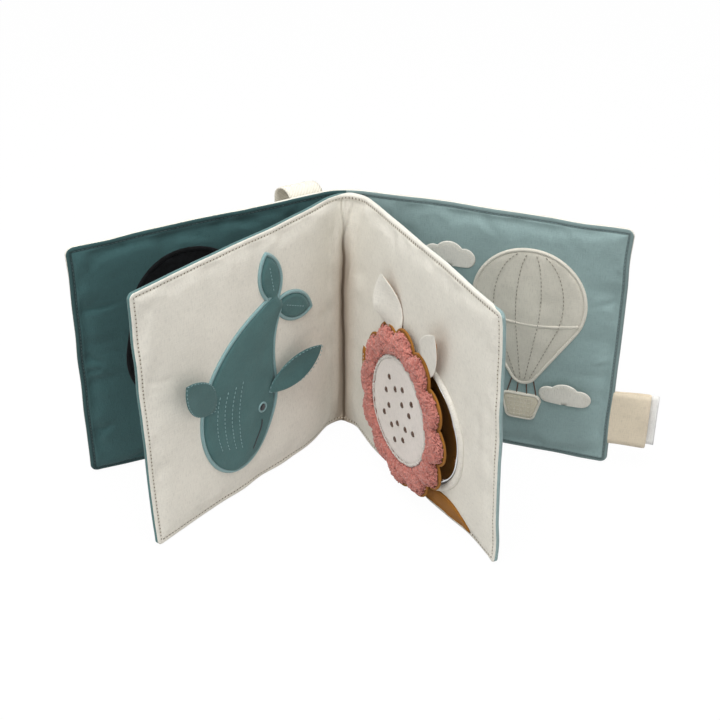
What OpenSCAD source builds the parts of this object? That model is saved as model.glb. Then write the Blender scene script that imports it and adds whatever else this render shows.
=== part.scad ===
// Soft cloth book: two padded covers and two padded leaves sewn along one spine, standing open
// like a fan on their lower hems. Each panel is two cloths sewn round a sheet of wadding. The
// motifs are sewn-on cloth, some of them loose flaps, and one big flap hides a round mirror.
// Millimetres, +Z up. The origin is the middle of the spine's lower edge and the reader is at -Y.

/* [Panels] */
// Height of every panel
panel_h = 180; // [160:1:220]
// Width of a leaf, from the spine seam to its outer edge
leaf_w = 190; // [175:1:230]
// Width of a cover, from its hinge line to its outer edge
cover_w = 183; // [172:1:230]
// Radius of the outer corners of the panels
corner_r = 6; // [3:0.5:10]
// Thickness of a padded panel across its flat field
pad_t = 7; // [6:0.1:9]
// Thickness of the flat hem, both cloths together
hem_t = 4.4; // [3.6:0.1:5]
// Width of the hem outside its line of stitching
hem_w = 3.2; // [2.6:0.1:5]
// Distance over which the padding swells up from the stitching
pad_rise = 6; // [4:0.5:8]
// Thickness of one cloth of a padded panel
cloth_t = 0.8; // [0.5:0.1:1]

/* [Spine] */
// Width of the spine between the two cover hinges
spine_w = 18; // [16:1:24]
// Unpadded strip of a leaf beside the spine seam
leaf_strip = 4; // [3:1:12]
// Unpadded strip of a cover beside its hinge
cover_strip = 28; // [26:1:34]
// Radius of the sewn roll that holds the leaves to the spine
seam_r = 3.2; // [2.4:0.1:3.4]

/* [Fan] */
// Direction of the front cover, seen from above
front_cover_angle = 207; // [190:0.5:212]
// Direction of the left leaf
left_leaf_angle = 230.2; // [222:0.2:240]
// Direction of the right leaf
right_leaf_angle = 299.1; // [290:0.1:308]
// Direction of the back cover
back_cover_angle = 340.3; // [332:0.1:350]

/* [Whale] */
// Distance of the whale's nose below the middle of the page
nose_down = 68; // [56:1:74]
// Distance of the nose outward from the middle of the page
nose_out = 12; // [0:1:24]
// Distance of the tail's root above the middle of the page
tail_up = 42; // [30:1:46]
// Distance of the tail's root inward from the middle of the page
tail_in = 26; // [14:1:34]
// Distance by which the whale's back bows outward
back_out = 30; // [10:1:40]
// Greatest half width of the whale's body
whale_r = 34; // [28:1:38]
// Half width of the body where the tail starts
whale_tail_r = 6; // [4:0.5:9]
// Length of one tail fluke
fluke_l = 38; // [28:1:40]
// Width of one tail fluke
fluke_w = 19; // [14:1:22]
// Length of one loose fin
fin_l = 48; // [38:1:54]
// Width of one loose fin
fin_w = 22; // [16:1:26]
// Angle at which the loose fins stand off the page
fin_lift = 14; // [10:1:22]

/* [Flower flap] */
// Radius of the flower flap over its petals
flower_r = 58; // [52:1:62]
// Radius of one petal
petal_r = 14; // [13:0.5:17]
// Number of petals
petal_count = 12; // [9:1:14]
// Radius of the smooth middle of the flower
middle_r = 38; // [28:1:42]
// Depth of the curly pile
pile_t = 5; // [3:0.5:7]
// Margin of backing cloth round the pile
backing_margin = 2; // [1:0.5:3]
// Angle at which the flap stands off the page
flap_lift = 4; // [4:0.5:12]
// Gap between the flap and the lower edge of the page
flap_drop = 2; // [2:1:12]
// Length of one leaf tab on the flap, from its root behind the petals
leaf_tab_l = 50; // [40:1:54]
// Width of one leaf tab
leaf_tab_w = 21; // [14:1:24]

/* [Mirror] */
// Radius of the mirror film that shows inside its rim
mirror_r = 42; // [34:1:44]
// Width of the rolled cloth rim round the mirror
mirror_rim_w = 4.5; // [3:0.5:6]
// Height of the rolled rim above the page
mirror_rim_t = 1.8; // [1.2:0.1:2]

/* [Balloon] */
// Distance of the balloon outward from the middle of the cover
balloon_out = 15; // [8:1:20]
// Distance of the balloon above the middle of the cover
balloon_up = 29; // [22:1:34]
// Radius of the balloon
balloon_r = 38; // [30:1:42]
// Distance from the balloon's middle down to its neck
neck_drop = 54; // [48:1:60]
// Width of the basket
basket_w = 26; // [18:1:30]
// Height of the basket
basket_h = 19; // [14:1:24]
// Radius of the largest puff of a loose cloud
cloud_r = 11; // [8:0.5:13]
// Distance of the clouds above and below the middle of the cover
cloud_apart = 46; // [36:1:52]
// Distance of the upper cloud inward from the middle of the cover
upper_cloud_in = 41; // [34:1:44]
// Distance of the lower cloud outward from the middle of the cover
lower_cloud_out = 45; // [36:1:48]
// Angle at which the loose clouds stand off the page
cloud_lift = 9; // [6:0.5:14]

/* [Sewn patches] */
// Thickness of a sewn-on cloth patch
patch_t = 1.2; // [0.8:0.1:1.6]
// Width of the satin-stitched border round a patch
border_w = 3; // [2:0.25:4]
// Height of the satin-stitched border
border_t = 1.8; // [1.4:0.1:2.4]
// Thickness of a loose flap
flap_t = 1.4; // [1:0.1:2]
// Distance of the dark oval patch inward from the middle of the cover
oval_in = 0; // [0:1:16]
// Distance of the dark oval patch above the middle of the cover
oval_up = 14; // [0:1:14]
// Half width of the dark oval patch
oval_r = 45; // [36:1:50]
// Distance between the centres of the oval's two ends
oval_drop = 36; // [24:1:44]

/* [Loop and labels] */
// Width of the webbing of the carrying loop
loop_w = 24; // [18:0.5:25]
// Thickness of the webbing
loop_t = 1.5; // [1:0.1:2]
// Radius of the loop's arch, at the middle of the webbing
loop_r = 7.5; // [6:0.5:8]
// Distance of the loop's arch centre below the top edge of the cover
loop_low = 4; // [0:0.5:8]
// Length of the loop below its arch
loop_drop = 46; // [36:1:60]
// Length of webbing sewn down at each end of the loop
loop_tab = 12; // [8:1:16]
// Width of the folded side label, along the edge of the cover
label_w = 42; // [30:1:46]
// Distance that the side label stands out
label_l = 25; // [18:1:30]
// Thickness of the label ribbon
label_t = 0.8; // [0.5:0.1:1]
// Height of the side label's lower edge above the ground
label_z = 17; // [12:1:40]
// Distance that the care label stands out past the side label
care_extra = 5; // [3:1:8]

/* [Hidden] */
$fn = 48;

// Colours of the cloths
cream = "#dedacd";
teal = "#4c6e6e";
dark_teal = "#385659";
pale_teal = "#7fa3a6";
sky_blue = "#8ba6a8";
mustard = "#9a6f2c";
pink = "#c4807f";
white_cloth = "#e4e1dc";
grey_cream = "#bfbcb1";
black_cloth = "#17181a";
wadding_white = "#f2f1ee";
mirror_grey = "#c9ced1";

// Section of a padded panel, one half of it, measured up from the middle plane
pad_h = pad_t / 2;
hem_h = hem_t / 2;
groove_h = 0.72 * hem_h;
groove_w = hem_w / 4;
edge_flat = 0.5 * hem_h;
edge_bend = 0.85 * hem_h;
edge_round = 0.7 * hem_h;
rise_steps = 3;
corner_steps = 4;
inner_corner_r = 1;
least_corner_r = 0.5;

// Clearances
hinge_gap = 0.3;
wadding_gap = 0.2;
seat_gap = 0.1;

// Hinge beads on the spine strip, and where each panel starts from its own line
bead_r = hem_h;
seam_y = -(hem_h + seam_r + seat_gap);
cover_start = bead_r + hinge_gap;
leaf_start = hem_h / tan((right_leaf_angle - left_leaf_angle) / 2) + hinge_gap;

// Middle of the flat field of a leaf and of a cover
leaf_mid = [(leaf_strip + leaf_w) / 2, panel_h / 2];
cover_mid = [(cover_strip + cover_w) / 2, panel_h / 2];

// The whale dives, head down: its middle line is one curve from the nose to the tail
whale_nose = leaf_mid + [nose_out, -nose_down];
whale_bend = leaf_mid + [back_out, 0];
whale_tail = leaf_mid + [-tail_in, tail_up];
whale_widest = 0.36;
whale_steps = 20;
fin_place = 0.4;
fin_inset = 9;
fin_spread = 128;
fluke_spread = 62;

// The flower flap turns about its left side and carries its own frame, from that side
tab_l = 5;
tab_w = 30;
tab_margin = 8.3;
flap_hinge_u = leaf_start + leaf_strip + hem_w + pad_rise + tab_l + tab_margin;
flower_mid = [flower_r, flap_drop + flower_r];
petal_ring_r = flower_r - petal_r;
mirror_out = 19;
mirror_mid = [flap_hinge_u + flower_r + mirror_out, flower_mid[1]];
leaf_tab_angles = [108, 60];
leaf_tab_inset = 2;
ground_w = 52;
ground_h = 11;
ground_u = mirror_mid[0];
ground_v = hem_w + pad_rise;

// Balloon, basket and clouds on the back cover, and the oval on the front cover
balloon_mid = cover_mid + [balloon_out, balloon_up];
neck_r = 9;
basket_mid = balloon_mid - [0, neck_drop + neck_r + basket_h];
basket_corner = 4;
basket_taper = 3;
upper_cloud_at = cover_mid + [-upper_cloud_in, cloud_apart];
lower_cloud_at = cover_mid + [lower_cloud_out, -cloud_apart];
cloud_side_ratio = 0.65;
oval_mid = cover_mid + [-oval_in, oval_up];
oval_ratio = 0.86;

// The loop is sewn to the unpadded strip at the top of the front cover
loop_inset = 0.7;
loop_u = cover_strip + hem_w - groove_w - loop_w - loop_inset;
loop_back = hem_h + loop_t / 2 + 2 * loop_r;
loop_top = panel_h - loop_low;
arc_steps = 8;
label_fold_r = 1.9;
care_root = 1.6 * label_t;
care_bend = 0.6 * label_l;

// Numbers in reverse order
function backwards(list) = [for (k = [len(list) - 1:-1:0]) list[k]];

// Points of an arc, from angle a to angle b
function arc(centre, r, a, b, steps = arc_steps) =
    [for (k = [0:steps]) let (t = a + (b - a) * k / steps) centre + r * [cos(t), sin(t)]];

// One closed ring of a panel, inset from its edges and raised to n. The unpadded strip is left
// out of every ring that lies inside the hem.
function panel_ring(w, start, strip, inset, n) =
    let (
        u0 = start + inset + (inset >= hem_w - groove_w ? strip : 0),
        u1 = w - inset,
        v0 = inset,
        v1 = panel_h - inset,
        ro = max(corner_r - inset, least_corner_r),
        ri = max(inner_corner_r - inset, least_corner_r),
        flat = concat(
            arc([u1 - ro, v0 + ro], ro, -90, 0, corner_steps),
            arc([u1 - ro, v1 - ro], ro, 0, 90, corner_steps),
            arc([u0 + ri, v1 - ri], ri, 90, 180, corner_steps),
            arc([u0 + ri, v0 + ri], ri, 180, 270, corner_steps)
        )
    )
    [for (p = flat) [p[0], p[1], n]];

// Inset and height of the cloth's outer side, from the edge in to the flat field
cloth_outside = concat(
    [[0, 0], [0, edge_flat], [edge_round / 3, edge_bend], [edge_round, hem_h], [hem_w - groove_w, hem_h]],
    [for (k = [0:rise_steps]) let (t = k / rise_steps)
        [hem_w + pad_rise * t, groove_h + (pad_h - groove_h) * sin(90 * t)]]
);

// The swell of the padding, less a skin of the given thickness
function swell(skin, gap) =
    [for (k = [0:rise_steps]) let (t = k / rise_steps)
        [hem_w + skin + gap + pad_rise * t, (pad_h - skin - gap) * sin(90 * t)]];

// Closed solid through a stack of rings with equal counts of points
module lofted(rings) {
    count = len(rings[0]);
    last = len(rings) - 1;
    bands = [for (k = [0:last - 1]) for (j = [0:count - 1])
        [k * count + j, k * count + (j + 1) % count,
         (k + 1) * count + (j + 1) % count, (k + 1) * count + j]];
    caps = [[for (j = [count - 1:-1:0]) j], [for (j = [0:count - 1]) last * count + j]];
    polyhedron([for (r = rings) for (p = r) p], concat(bands, caps));
}

// One cloth of a panel: hem, stitched groove, swell and flat field, hollow underneath
module panel_cloth(w, start, strip) {
    section = concat(backwards(cloth_outside), swell(cloth_t, 0));
    lofted([for (s = section) panel_ring(w, start, strip, s[0], s[1])]);
}

// The sheet of wadding that fills the pocket between the two cloths
module panel_wadding(w, start, strip) {
    half = swell(cloth_t, wadding_gap);
    lower = [for (k = [1:rise_steps]) [half[k][0], -half[k][1]]];
    section = concat(backwards(half), lower);
    lofted([for (s = section) panel_ring(w, start, strip, s[0], s[1])]);
}

// Stands a panel up on its lower edge: u runs out from the hinge, v up, n to the panel's side
module upright(line, angle) {
    translate([line[0], line[1], 0]) rotate([90, 0, angle]) children();
}

// Turns the n direction of a panel round, for the other side of it
module other_side() {
    mirror([0, 0, 1]) children();
}

module left_leaf() upright([0, seam_y], left_leaf_angle) children();
module right_leaf() upright([0, seam_y], right_leaf_angle) children();
module front_cover() upright([-spine_w / 2, 0], front_cover_angle) children();
module back_cover() upright([spine_w / 2, 0], back_cover_angle) children();

// A flat patch on the padded field
module patch(thickness) {
    translate([0, 0, pad_h]) linear_extrude(thickness) children();
}

// The satin-stitched edge that covers the rim of a patch
module satin_border() {
    patch(border_t) difference() {
        offset(r = border_w / 2, $fn = 24) children();
        offset(r = -border_w / 2, $fn = 24) children();
    }
}

// The cloth inside a satin-stitched border
module bordered_cloth() {
    patch(patch_t) offset(r = -border_w / 2, $fn = 24) children();
}

// A pointed oval from the origin along +X, between two equal arcs
module lens(length, width) {
    r = (length * length + width * width) / (4 * width);
    intersection() {
        translate([length / 2, r - width / 2]) circle(r, $fn = 96);
        translate([length / 2, width / 2 - r]) circle(r, $fn = 96);
    }
}

// A strip of constant thickness along a path of points
function path_normal(path, k) =
    let (d = path[min(k + 1, len(path) - 1)] - path[max(k - 1, 0)])
    [-d[1], d[0]] / norm(d);

module ribbon(path, thickness) {
    sides = [for (s = [1, -1])
        [for (k = [0:len(path) - 1]) path[k] + s * thickness / 2 * path_normal(path, k)]];
    polygon(concat(sides[0], backwards(sides[1])));
}

// Spine: a flat strip with a round bead on each hinge line, and the roll sewn to it
module spine_strip() {
    color(cream) {
        translate([-spine_w / 2, -hem_h, 0]) cube([spine_w, hem_t, panel_h]);
        for (side = [-1, 1]) translate([side * spine_w / 2, 0, 0]) cylinder(r = bead_r, h = panel_h);
    }
}

module spine_seam() {
    color(cream) translate([0, seam_y, 0]) cylinder(r = seam_r, h = panel_h);
}

// Leaves
module left_leaf_front() {
    color(cream) left_leaf() other_side() panel_cloth(leaf_w, leaf_start, leaf_strip);
}

module left_leaf_back() {
    color(teal) left_leaf() panel_cloth(leaf_w, leaf_start, leaf_strip);
}

module left_leaf_wadding() {
    color(wadding_white) left_leaf() panel_wadding(leaf_w, leaf_start, leaf_strip);
}

module right_leaf_front() {
    color(cream) right_leaf() panel_cloth(leaf_w, leaf_start, leaf_strip);
}

module right_leaf_back() {
    color(sky_blue) right_leaf() other_side() panel_cloth(leaf_w, leaf_start, leaf_strip);
}

module right_leaf_wadding() {
    color(wadding_white) right_leaf() panel_wadding(leaf_w, leaf_start, leaf_strip);
}

// Whale: a point on its middle line, the direction of that line, and its half width there
function whale_line(s) =
    pow(1 - s, 2) * whale_nose + 2 * s * (1 - s) * whale_bend + s * s * whale_tail;

function whale_along(s) =
    let (d = 2 * (1 - s) * (whale_bend - whale_nose) + 2 * s * (whale_tail - whale_bend)) d / norm(d);

function whale_half(s) =
    s < whale_widest
        ? whale_r * sqrt(max(0, 1 - pow(1 - s / whale_widest, 2)))
        : let (t = (s - whale_widest) / (1 - whale_widest))
            whale_tail_r + (whale_r - whale_tail_r) * pow(cos(90 * t), 1.3);

function whale_side(s, side) =
    let (d = whale_along(s)) whale_line(s) + side * whale_half(s) * [-d[1], d[0]];

function whale_heading(s) = let (d = whale_along(s)) atan2(d[1], d[0]);

module whale_outline() {
    // Closer steps at the round head, where the half width changes fastest
    steps = [for (k = [0:whale_steps]) pow(k / whale_steps, 1.5)];
    polygon(concat([for (s = steps) whale_side(s, 1)], [for (s = backwards(steps)) whale_side(s, -1)]));
    for (side = [-1, 1])
        translate(whale_tail - whale_tail_r * whale_along(1))
            rotate(whale_heading(1) + side * fluke_spread) lens(fluke_l, fluke_w);
}

module whale_body() {
    color(teal) left_leaf() other_side() bordered_cloth() whale_outline();
}

module whale_border() {
    color(pale_teal) left_leaf() other_side() satin_border() whale_outline();
}

// A loose flap: sewn down at its root on the patch below, and standing off at an angle
module standing(root, heading, lift, base) {
    translate([root[0], root[1], pad_h + base]) rotate([0, 0, heading]) rotate([0, -lift, 0])
        linear_extrude(flap_t) children();
}

module whale_fin(side) {
    root = whale_line(fin_place)
        + side * (whale_half(fin_place) - fin_inset)
        * [-whale_along(fin_place)[1], whale_along(fin_place)[0]];
    color(teal) left_leaf() other_side()
        standing(root, whale_heading(fin_place) + side * (180 - fin_spread), fin_lift, patch_t)
            lens(fin_l, fin_w);
}

// Mirror in its rolled rim, and the patch of ground beside it
module mirror_film() {
    color(mirror_grey) right_leaf() patch(patch_t) translate(mirror_mid) circle(mirror_r, $fn = 96);
}

module mirror_rim() {
    color(cream) right_leaf() translate([mirror_mid[0], mirror_mid[1], pad_h])
        rotate_extrude($fn = 96) translate([mirror_r + seat_gap, 0]) {
            square([mirror_rim_w, mirror_rim_t / 2]);
            translate([0, mirror_rim_t / 2])
                intersection() {
                    square([mirror_rim_w, mirror_rim_t / 2]);
                    translate([mirror_rim_w / 2, (mirror_rim_t - mirror_rim_w) / 2])
                        circle(r = mirror_rim_w / 2);
                }
        }
}

module ground_patch() {
    r = (pow(ground_w / 2, 2) + ground_h * ground_h) / (2 * ground_h);
    color(mustard) right_leaf() patch(patch_t)
        difference() {
            intersection() {
                translate([ground_u + ground_w / 2, ground_v + ground_h - r]) circle(r, $fn = 128);
                translate([ground_u, ground_v]) square([ground_w, ground_h]);
            }
            translate(mirror_mid) circle(mirror_r + mirror_rim_w + 2 * seat_gap, $fn = 96);
        }
}

// Flower flap, in its own frame: x out from the sewn side, y up, z off the page
module flap() {
    right_leaf() translate([flap_hinge_u, 0, pad_h]) rotate([0, -flap_lift, 0]) children();
}

module petals(grow) {
    translate(flower_mid) {
        circle(petal_ring_r + grow, $fn = 96);
        for (k = [0:petal_count - 1]) rotate(180 + 360 * k / petal_count)
            translate([petal_ring_r, 0]) circle(petal_r + grow);
    }
}

module flap_tab() {
    // The flap's sewn side leans back over the tab by its own thickness
    lean = flap_t * sin(flap_lift) + seat_gap;
    color(mustard) right_leaf()
        translate([flap_hinge_u - tab_l - lean, flower_mid[1] - tab_w / 2, pad_h])
            cube([tab_l, tab_w, flap_t]);
}

module flap_backing() {
    color(mustard) flap() linear_extrude(flap_t) petals(0);
}

module flap_pile() {
    color(pink) flap() translate([0, 0, flap_t]) linear_extrude(pile_t) difference() {
        petals(-backing_margin);
        translate(flower_mid) circle(middle_r + seat_gap, $fn = 96);
    }
}

module flap_middle() {
    color(white_cloth) flap() translate([0, 0, flap_t]) linear_extrude(pile_t - patch_t)
        translate(flower_mid) circle(middle_r, $fn = 96);
}

module leaf_tab(angle) {
    color(cream) flap() translate([0, 0, -flap_t]) linear_extrude(flap_t)
        translate(flower_mid) rotate(angle) translate([petal_ring_r - leaf_tab_inset, 0])
            lens(leaf_tab_l, leaf_tab_w);
}

// Front cover with its dark oval and the carrying loop
module front_cover_outer() {
    color(cream) front_cover() panel_cloth(cover_w, cover_start, cover_strip);
}

module front_cover_lining() {
    color(dark_teal) front_cover() other_side() panel_cloth(cover_w, cover_start, cover_strip);
}

module front_cover_wadding() {
    color(wadding_white) front_cover() panel_wadding(cover_w, cover_start, cover_strip);
}

module oval_outline() {
    hull() {
        translate(oval_mid - [0, oval_drop / 2]) circle(oval_r, $fn = 32);
        translate(oval_mid + [0, oval_drop / 2]) circle(oval_r * oval_ratio, $fn = 32);
    }
}

module oval_patch() {
    color(black_cloth) front_cover() other_side() bordered_cloth() oval_outline();
}

module oval_border() {
    color(black_cloth) front_cover() other_side() satin_border() oval_outline();
}

module carrying_loop() {
    // Middle line of the webbing, x off the cover's outside and y up
    near = hem_h + loop_t / 2;
    path = concat(
        [[near, loop_top - loop_tab]],
        arc([near + loop_r, loop_top], loop_r, 180, 0),
        arc([loop_back - loop_r, loop_top - loop_drop + loop_r], loop_r, 0, -90),
        arc([near + loop_r, loop_top - loop_drop - loop_r], loop_r, 90, 180),
        [[near, loop_top - loop_drop - loop_r - loop_tab]]
    );
    color(cream) front_cover() translate([loop_u + loop_w, 0, 0]) rotate([0, -90, 0])
        linear_extrude(loop_w) ribbon(path, loop_t);
}

// Back cover with its balloon, clouds and labels
module back_cover_outer() {
    color(cream) back_cover() other_side() panel_cloth(cover_w, cover_start, cover_strip);
}

module back_cover_lining() {
    color(sky_blue) back_cover() panel_cloth(cover_w, cover_start, cover_strip);
}

module back_cover_wadding() {
    color(wadding_white) back_cover() panel_wadding(cover_w, cover_start, cover_strip);
}

module balloon_outline() {
    hull() {
        translate(balloon_mid) circle(balloon_r, $fn = 48);
        translate(balloon_mid - [0, neck_drop]) circle(neck_r, $fn = 24);
    }
}

module balloon() {
    color(grey_cream) back_cover() bordered_cloth() balloon_outline();
}

module balloon_border() {
    color(cream) back_cover() satin_border() balloon_outline();
}

module basket() {
    top = basket_w / 2 - basket_corner;
    color(cream) back_cover() patch(border_t) hull() for (side = [-1, 1]) {
        translate(basket_mid + [side * top, basket_h / 2 - basket_corner]) circle(basket_corner, $fn = 24);
        translate(basket_mid + [side * (top - basket_taper), basket_corner - basket_h / 2])
            circle(basket_corner, $fn = 24);
    }
}

// A cloud of three puffs, cut off flat along its foot, from the foot up along +X
module cloud_outline() {
    side_r = cloud_r * cloud_side_ratio;
    intersection() {
        union() {
            translate([side_r, 0]) circle(cloud_r);
            for (side = [-1, 1]) translate([side_r, side * cloud_r]) circle(side_r);
        }
        translate([0, -2 * cloud_r]) square([2 * cloud_r, 4 * cloud_r]);
    }
}

module cloud(at) {
    color(cream) back_cover() standing(at, 90, cloud_lift, 0) cloud_outline();
}

// Ribbon labels caught in the outer hem of the back cover, x out from the edge
module side_label() {
    end = cover_w + seat_gap;
    fold = arc([end + label_l - label_fold_r, 0], label_fold_r - label_t / 2, -90, 90);
    path = concat([[end, -label_t / 2]], fold, [[end, label_t / 2]]);
    color(cream) back_cover() translate([0, label_z + label_w, 0]) rotate([90, 0, 0])
        linear_extrude(label_w) ribbon(path, label_t);
}

module care_label() {
    end = cover_w + seat_gap;
    away = -(label_fold_r + label_t);
    path = [[end, -care_root], [end + care_bend, away], [end + label_l + care_extra, away]];
    color(white_cloth) back_cover() translate([0, label_z + label_w - 1, 0]) rotate([90, 0, 0])
        linear_extrude(label_w - 2) ribbon(path, label_t / 2);
}

spine_strip();
spine_seam();
left_leaf_front();
left_leaf_back();
left_leaf_wadding();
right_leaf_front();
right_leaf_back();
right_leaf_wadding();
whale_body();
whale_border();
whale_fin(1);  // whale_upper_fin
whale_fin(-1);  // whale_lower_fin
mirror_film();
mirror_rim();
ground_patch();
flap_tab();
flap_backing();
flap_pile();
flap_middle();
leaf_tab(leaf_tab_angles[0]);  // flap_upper_leaf
leaf_tab(leaf_tab_angles[1]);  // flap_side_leaf
front_cover_outer();
front_cover_lining();
front_cover_wadding();
oval_patch();
oval_border();
carrying_loop();
back_cover_outer();
back_cover_lining();
back_cover_wadding();
balloon();
balloon_border();
basket();
cloud(upper_cloud_at);  // upper_cloud
cloud(lower_cloud_at);  // lower_cloud
side_label();
care_label();
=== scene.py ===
from functools import partial
import bpy
import bmesh
import numpy as np
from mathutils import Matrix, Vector


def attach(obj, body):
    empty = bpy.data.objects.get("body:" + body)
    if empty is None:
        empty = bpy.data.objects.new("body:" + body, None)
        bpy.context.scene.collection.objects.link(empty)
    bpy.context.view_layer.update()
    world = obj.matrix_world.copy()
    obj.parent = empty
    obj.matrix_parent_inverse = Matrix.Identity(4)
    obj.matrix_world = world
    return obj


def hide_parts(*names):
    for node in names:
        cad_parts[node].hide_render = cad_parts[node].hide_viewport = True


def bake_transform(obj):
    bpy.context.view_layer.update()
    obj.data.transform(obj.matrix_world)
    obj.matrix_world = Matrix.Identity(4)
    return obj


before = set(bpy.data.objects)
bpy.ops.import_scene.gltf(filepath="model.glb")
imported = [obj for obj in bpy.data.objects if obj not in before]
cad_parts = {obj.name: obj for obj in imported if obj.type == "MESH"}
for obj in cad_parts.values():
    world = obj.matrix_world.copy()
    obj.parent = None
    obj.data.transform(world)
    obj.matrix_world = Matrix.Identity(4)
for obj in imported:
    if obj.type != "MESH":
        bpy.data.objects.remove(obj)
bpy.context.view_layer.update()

scene = bpy.context.scene
print("book: frame loaded with", len(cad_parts), "nodes")

# sizes shared with the CAD source, in millimetres
book = dict(height=180, leafWidth=190, coverWidth=183, spineHalf=9, padHalf=3.5, stitchIn=2.8)
# a leaf's width is counted from the CAD's seam line, this far from the curved gutter
leafOff = {-1: 2.5, 1: -1.5}
# how the soft cloth strays from its plan lines, in millimetres; shift keeps the noise lattice positive
slack = dict(ripple=.8, rippleSize=58, hemRipple=.9, hemSize=19, hemAt=188, hemWide=11, stray=.55,
             crease=27, shift=300)


def ease(t):
    # s-curve 3t^2 - 2t^3 between 0 and 1
    t = np.clip(t, 0, 1)
    return t * t * (3 - 2 * t)


def bell(t):
    # e to the power of minus t squared
    return np.exp(-t ** 2)


def dome(x, power=2):
    # rounded off from 1 in the middle to 0 at x = 1: the root of 1 - x^power
    return np.sqrt(np.maximum(0, 1 - x ** power))


def together(*values):
    # the values as float arrays of one shape
    return np.broadcast_arrays(*[np.asarray(value, float) for value in values])


def gridOf(rows, cols):
    # every row value with every column value
    return np.meshgrid(rows, cols, indexing="ij")


def rays(angle):
    # unit vectors in the plane at angles in radians
    return np.stack([np.cos(angle), np.sin(angle)], -1)


def arcPath(mid, r, a, b, steps=14):
    # points at distance r round a centre, from angle a to angle b in degrees
    return np.asarray(mid) + r * rays(np.radians(np.linspace(a, b, steps)))


def unitOf(vectors):
    # each vector divided by its own length
    return vectors / (np.linalg.norm(vectors, axis=-1, keepdims=True) + 1e-9)


def lengthAlong(path):
    # distance gone at each point of a path
    return np.concatenate([[0], np.cumsum(np.linalg.norm(np.diff(path, axis=0), axis=1))])


def bilinear(table, ix, iy, fx, fy):
    # the four values round a place, mixed by its share of the way along each axis
    low = table[ix, iy] * (1 - fx) + table[ix + 1, iy] * fx
    high = table[ix, iy + 1] * (1 - fx) + table[ix + 1, iy + 1] * fx
    return low * (1 - fy) + high * fy


def softNoise(x, y, size, seed, cells=64):
    # random values on a square lattice of the given size, blended with s-curves, from -1 to 1
    table = np.random.default_rng(seed).uniform(-1, 1, (cells, cells))
    gx, gy = np.asarray(x) / size, np.asarray(y) / size
    ix, iy = np.floor(gx).astype(int), np.floor(gy).astype(int)
    table = np.pad(table, (0, 1), mode="wrap")
    return bilinear(table, ix % cells, iy % cells, ease(gx - ix), ease(gy - iy))


def planLine(start, origin, turns, reach=230, steps=3680):
    # seen from above: heading = start + eased turns at given places, and the line is its running sum
    u, step = np.linspace(-reach, reach, steps + 1, retstep=True)
    heading = start + sum(turn * ease((u - at + half) / (2 * half)) for at, half, turn in turns)
    way = rays(np.radians(heading))
    line = np.cumsum(np.concatenate([[(0, 0)], (way[1:] + way[:-1]) / 2 * step]), axis=0)
    line = line - line[steps // 2] + origin
    return np.stack([u, *line.T, *way.T])


# the plan lines that the panels' top and bottom edges follow: heading at the left end in degrees, where the
# line crosses the spine, and each later turn as (place along the line, half length, degrees)
innerSheet = dict(
    seed=5,
    top=planLine(51.1, (-1.3, -8.), [(-165, 14, -1.9), (-45, 18, 5.6), (-12, 9, -19.8), (1, 7, -62.2),
                                     (15, 8, -35), (45, 25, -2.2), (110, 30, -.6)]),
    low=planLine(50, (-3.6, -9.9), [(-42, 14, 15.7), (-14, 8, -30.2), (-1, 6, -70.2), (13, 7, -33.7),
                                    (45, 14, 11), (160, 14, -7.7)]))
outerSheet = dict(
    seed=8,
    top=planLine(26.7, (0, -2.4), [(-60, 25, .9), (-9, 9, -28), (8, 9, -17.6), (75, 25, -3.2)]),
    low=planLine(23.6, (0, .3), [(-9, 7, -23.6), (9, 7, -20.7), (120, 40, 2.3)]))


def onSheet(sheet, u, v, n):
    # the places on the upper and the lower plan line mixed by height, moved n along the reader's normal,
    # with a slow ripple away from the spine and a quicker one along the hems
    u, v, n = together(u, v, n)
    w, out = v / book["height"], np.abs(u)
    x, y, dx, dy = [np.interp(u, sheet["low"][0], sheet["low"][k]) * (1 - w)
                    + np.interp(u, sheet["top"][0], sheet["top"][k]) * w for k in (1, 2, 3, 4)]
    slow = softNoise(u + slack["shift"], v, slack["rippleSize"], sheet["seed"])
    quick = softNoise(u + slack["shift"], v + 40, slack["hemSize"], sheet["seed"] + 3)
    inside = np.minimum(np.minimum(v, book["height"] - v), slack["hemAt"] - out)
    hemNear = ease(1 - inside / slack["hemWide"]) * ease((out - 30) / 30)
    n = n + slack["ripple"] * ease((out - 14) / 80) * slow + slack["hemRipple"] * hemNear * quick
    length = np.hypot(dx, dy)
    return np.stack([x + n * dy / length, y - n * dx / length, v], -1)


# section of a hem by distance from the edge: where each cloth lies (In) and how high (N); from the stitch
# line on, both cloths follow the same padded swell; the hem's own map starts at shift
padIn = [2.8, 3.15, 3.8, 4.8, 6.2, 8.2, 10.5]
padHigh = [1.35, 1.55, 1.95, 2.42, 2.95, 3.35, 3.5]
hem = dict(shift=400, reach=padIn[-1], groove=padHigh[0],
           inside=np.array([0, .3, .9, 1.6, 2.2, 2.5] + padIn),
           frontIn=np.array([0, .12, .65, 1.5, 2.2, 2.5] + padIn),
           frontN=np.array([1., 1.3, 1.55, 1.65, 1.6, 1.5] + padHigh),
           backIn=np.array([0, -.45, -.55, -.05, 1.2, 2.2] + padIn),
           backN=np.array([1., .5, -.4, -1.25, -1.65, -1.55] + [-high for high in padHigh]))

# how full the pads are beside the spine, where they start to fill and over what length each side fills up
leafFill = dict(least=.35, start=3, front=14, back=60)
coverFill = dict(least=.4, start=book["spineHalf"] + slack["crease"], front=60, back=8)
coverReach = book["spineHalf"] + book["coverWidth"]
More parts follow.
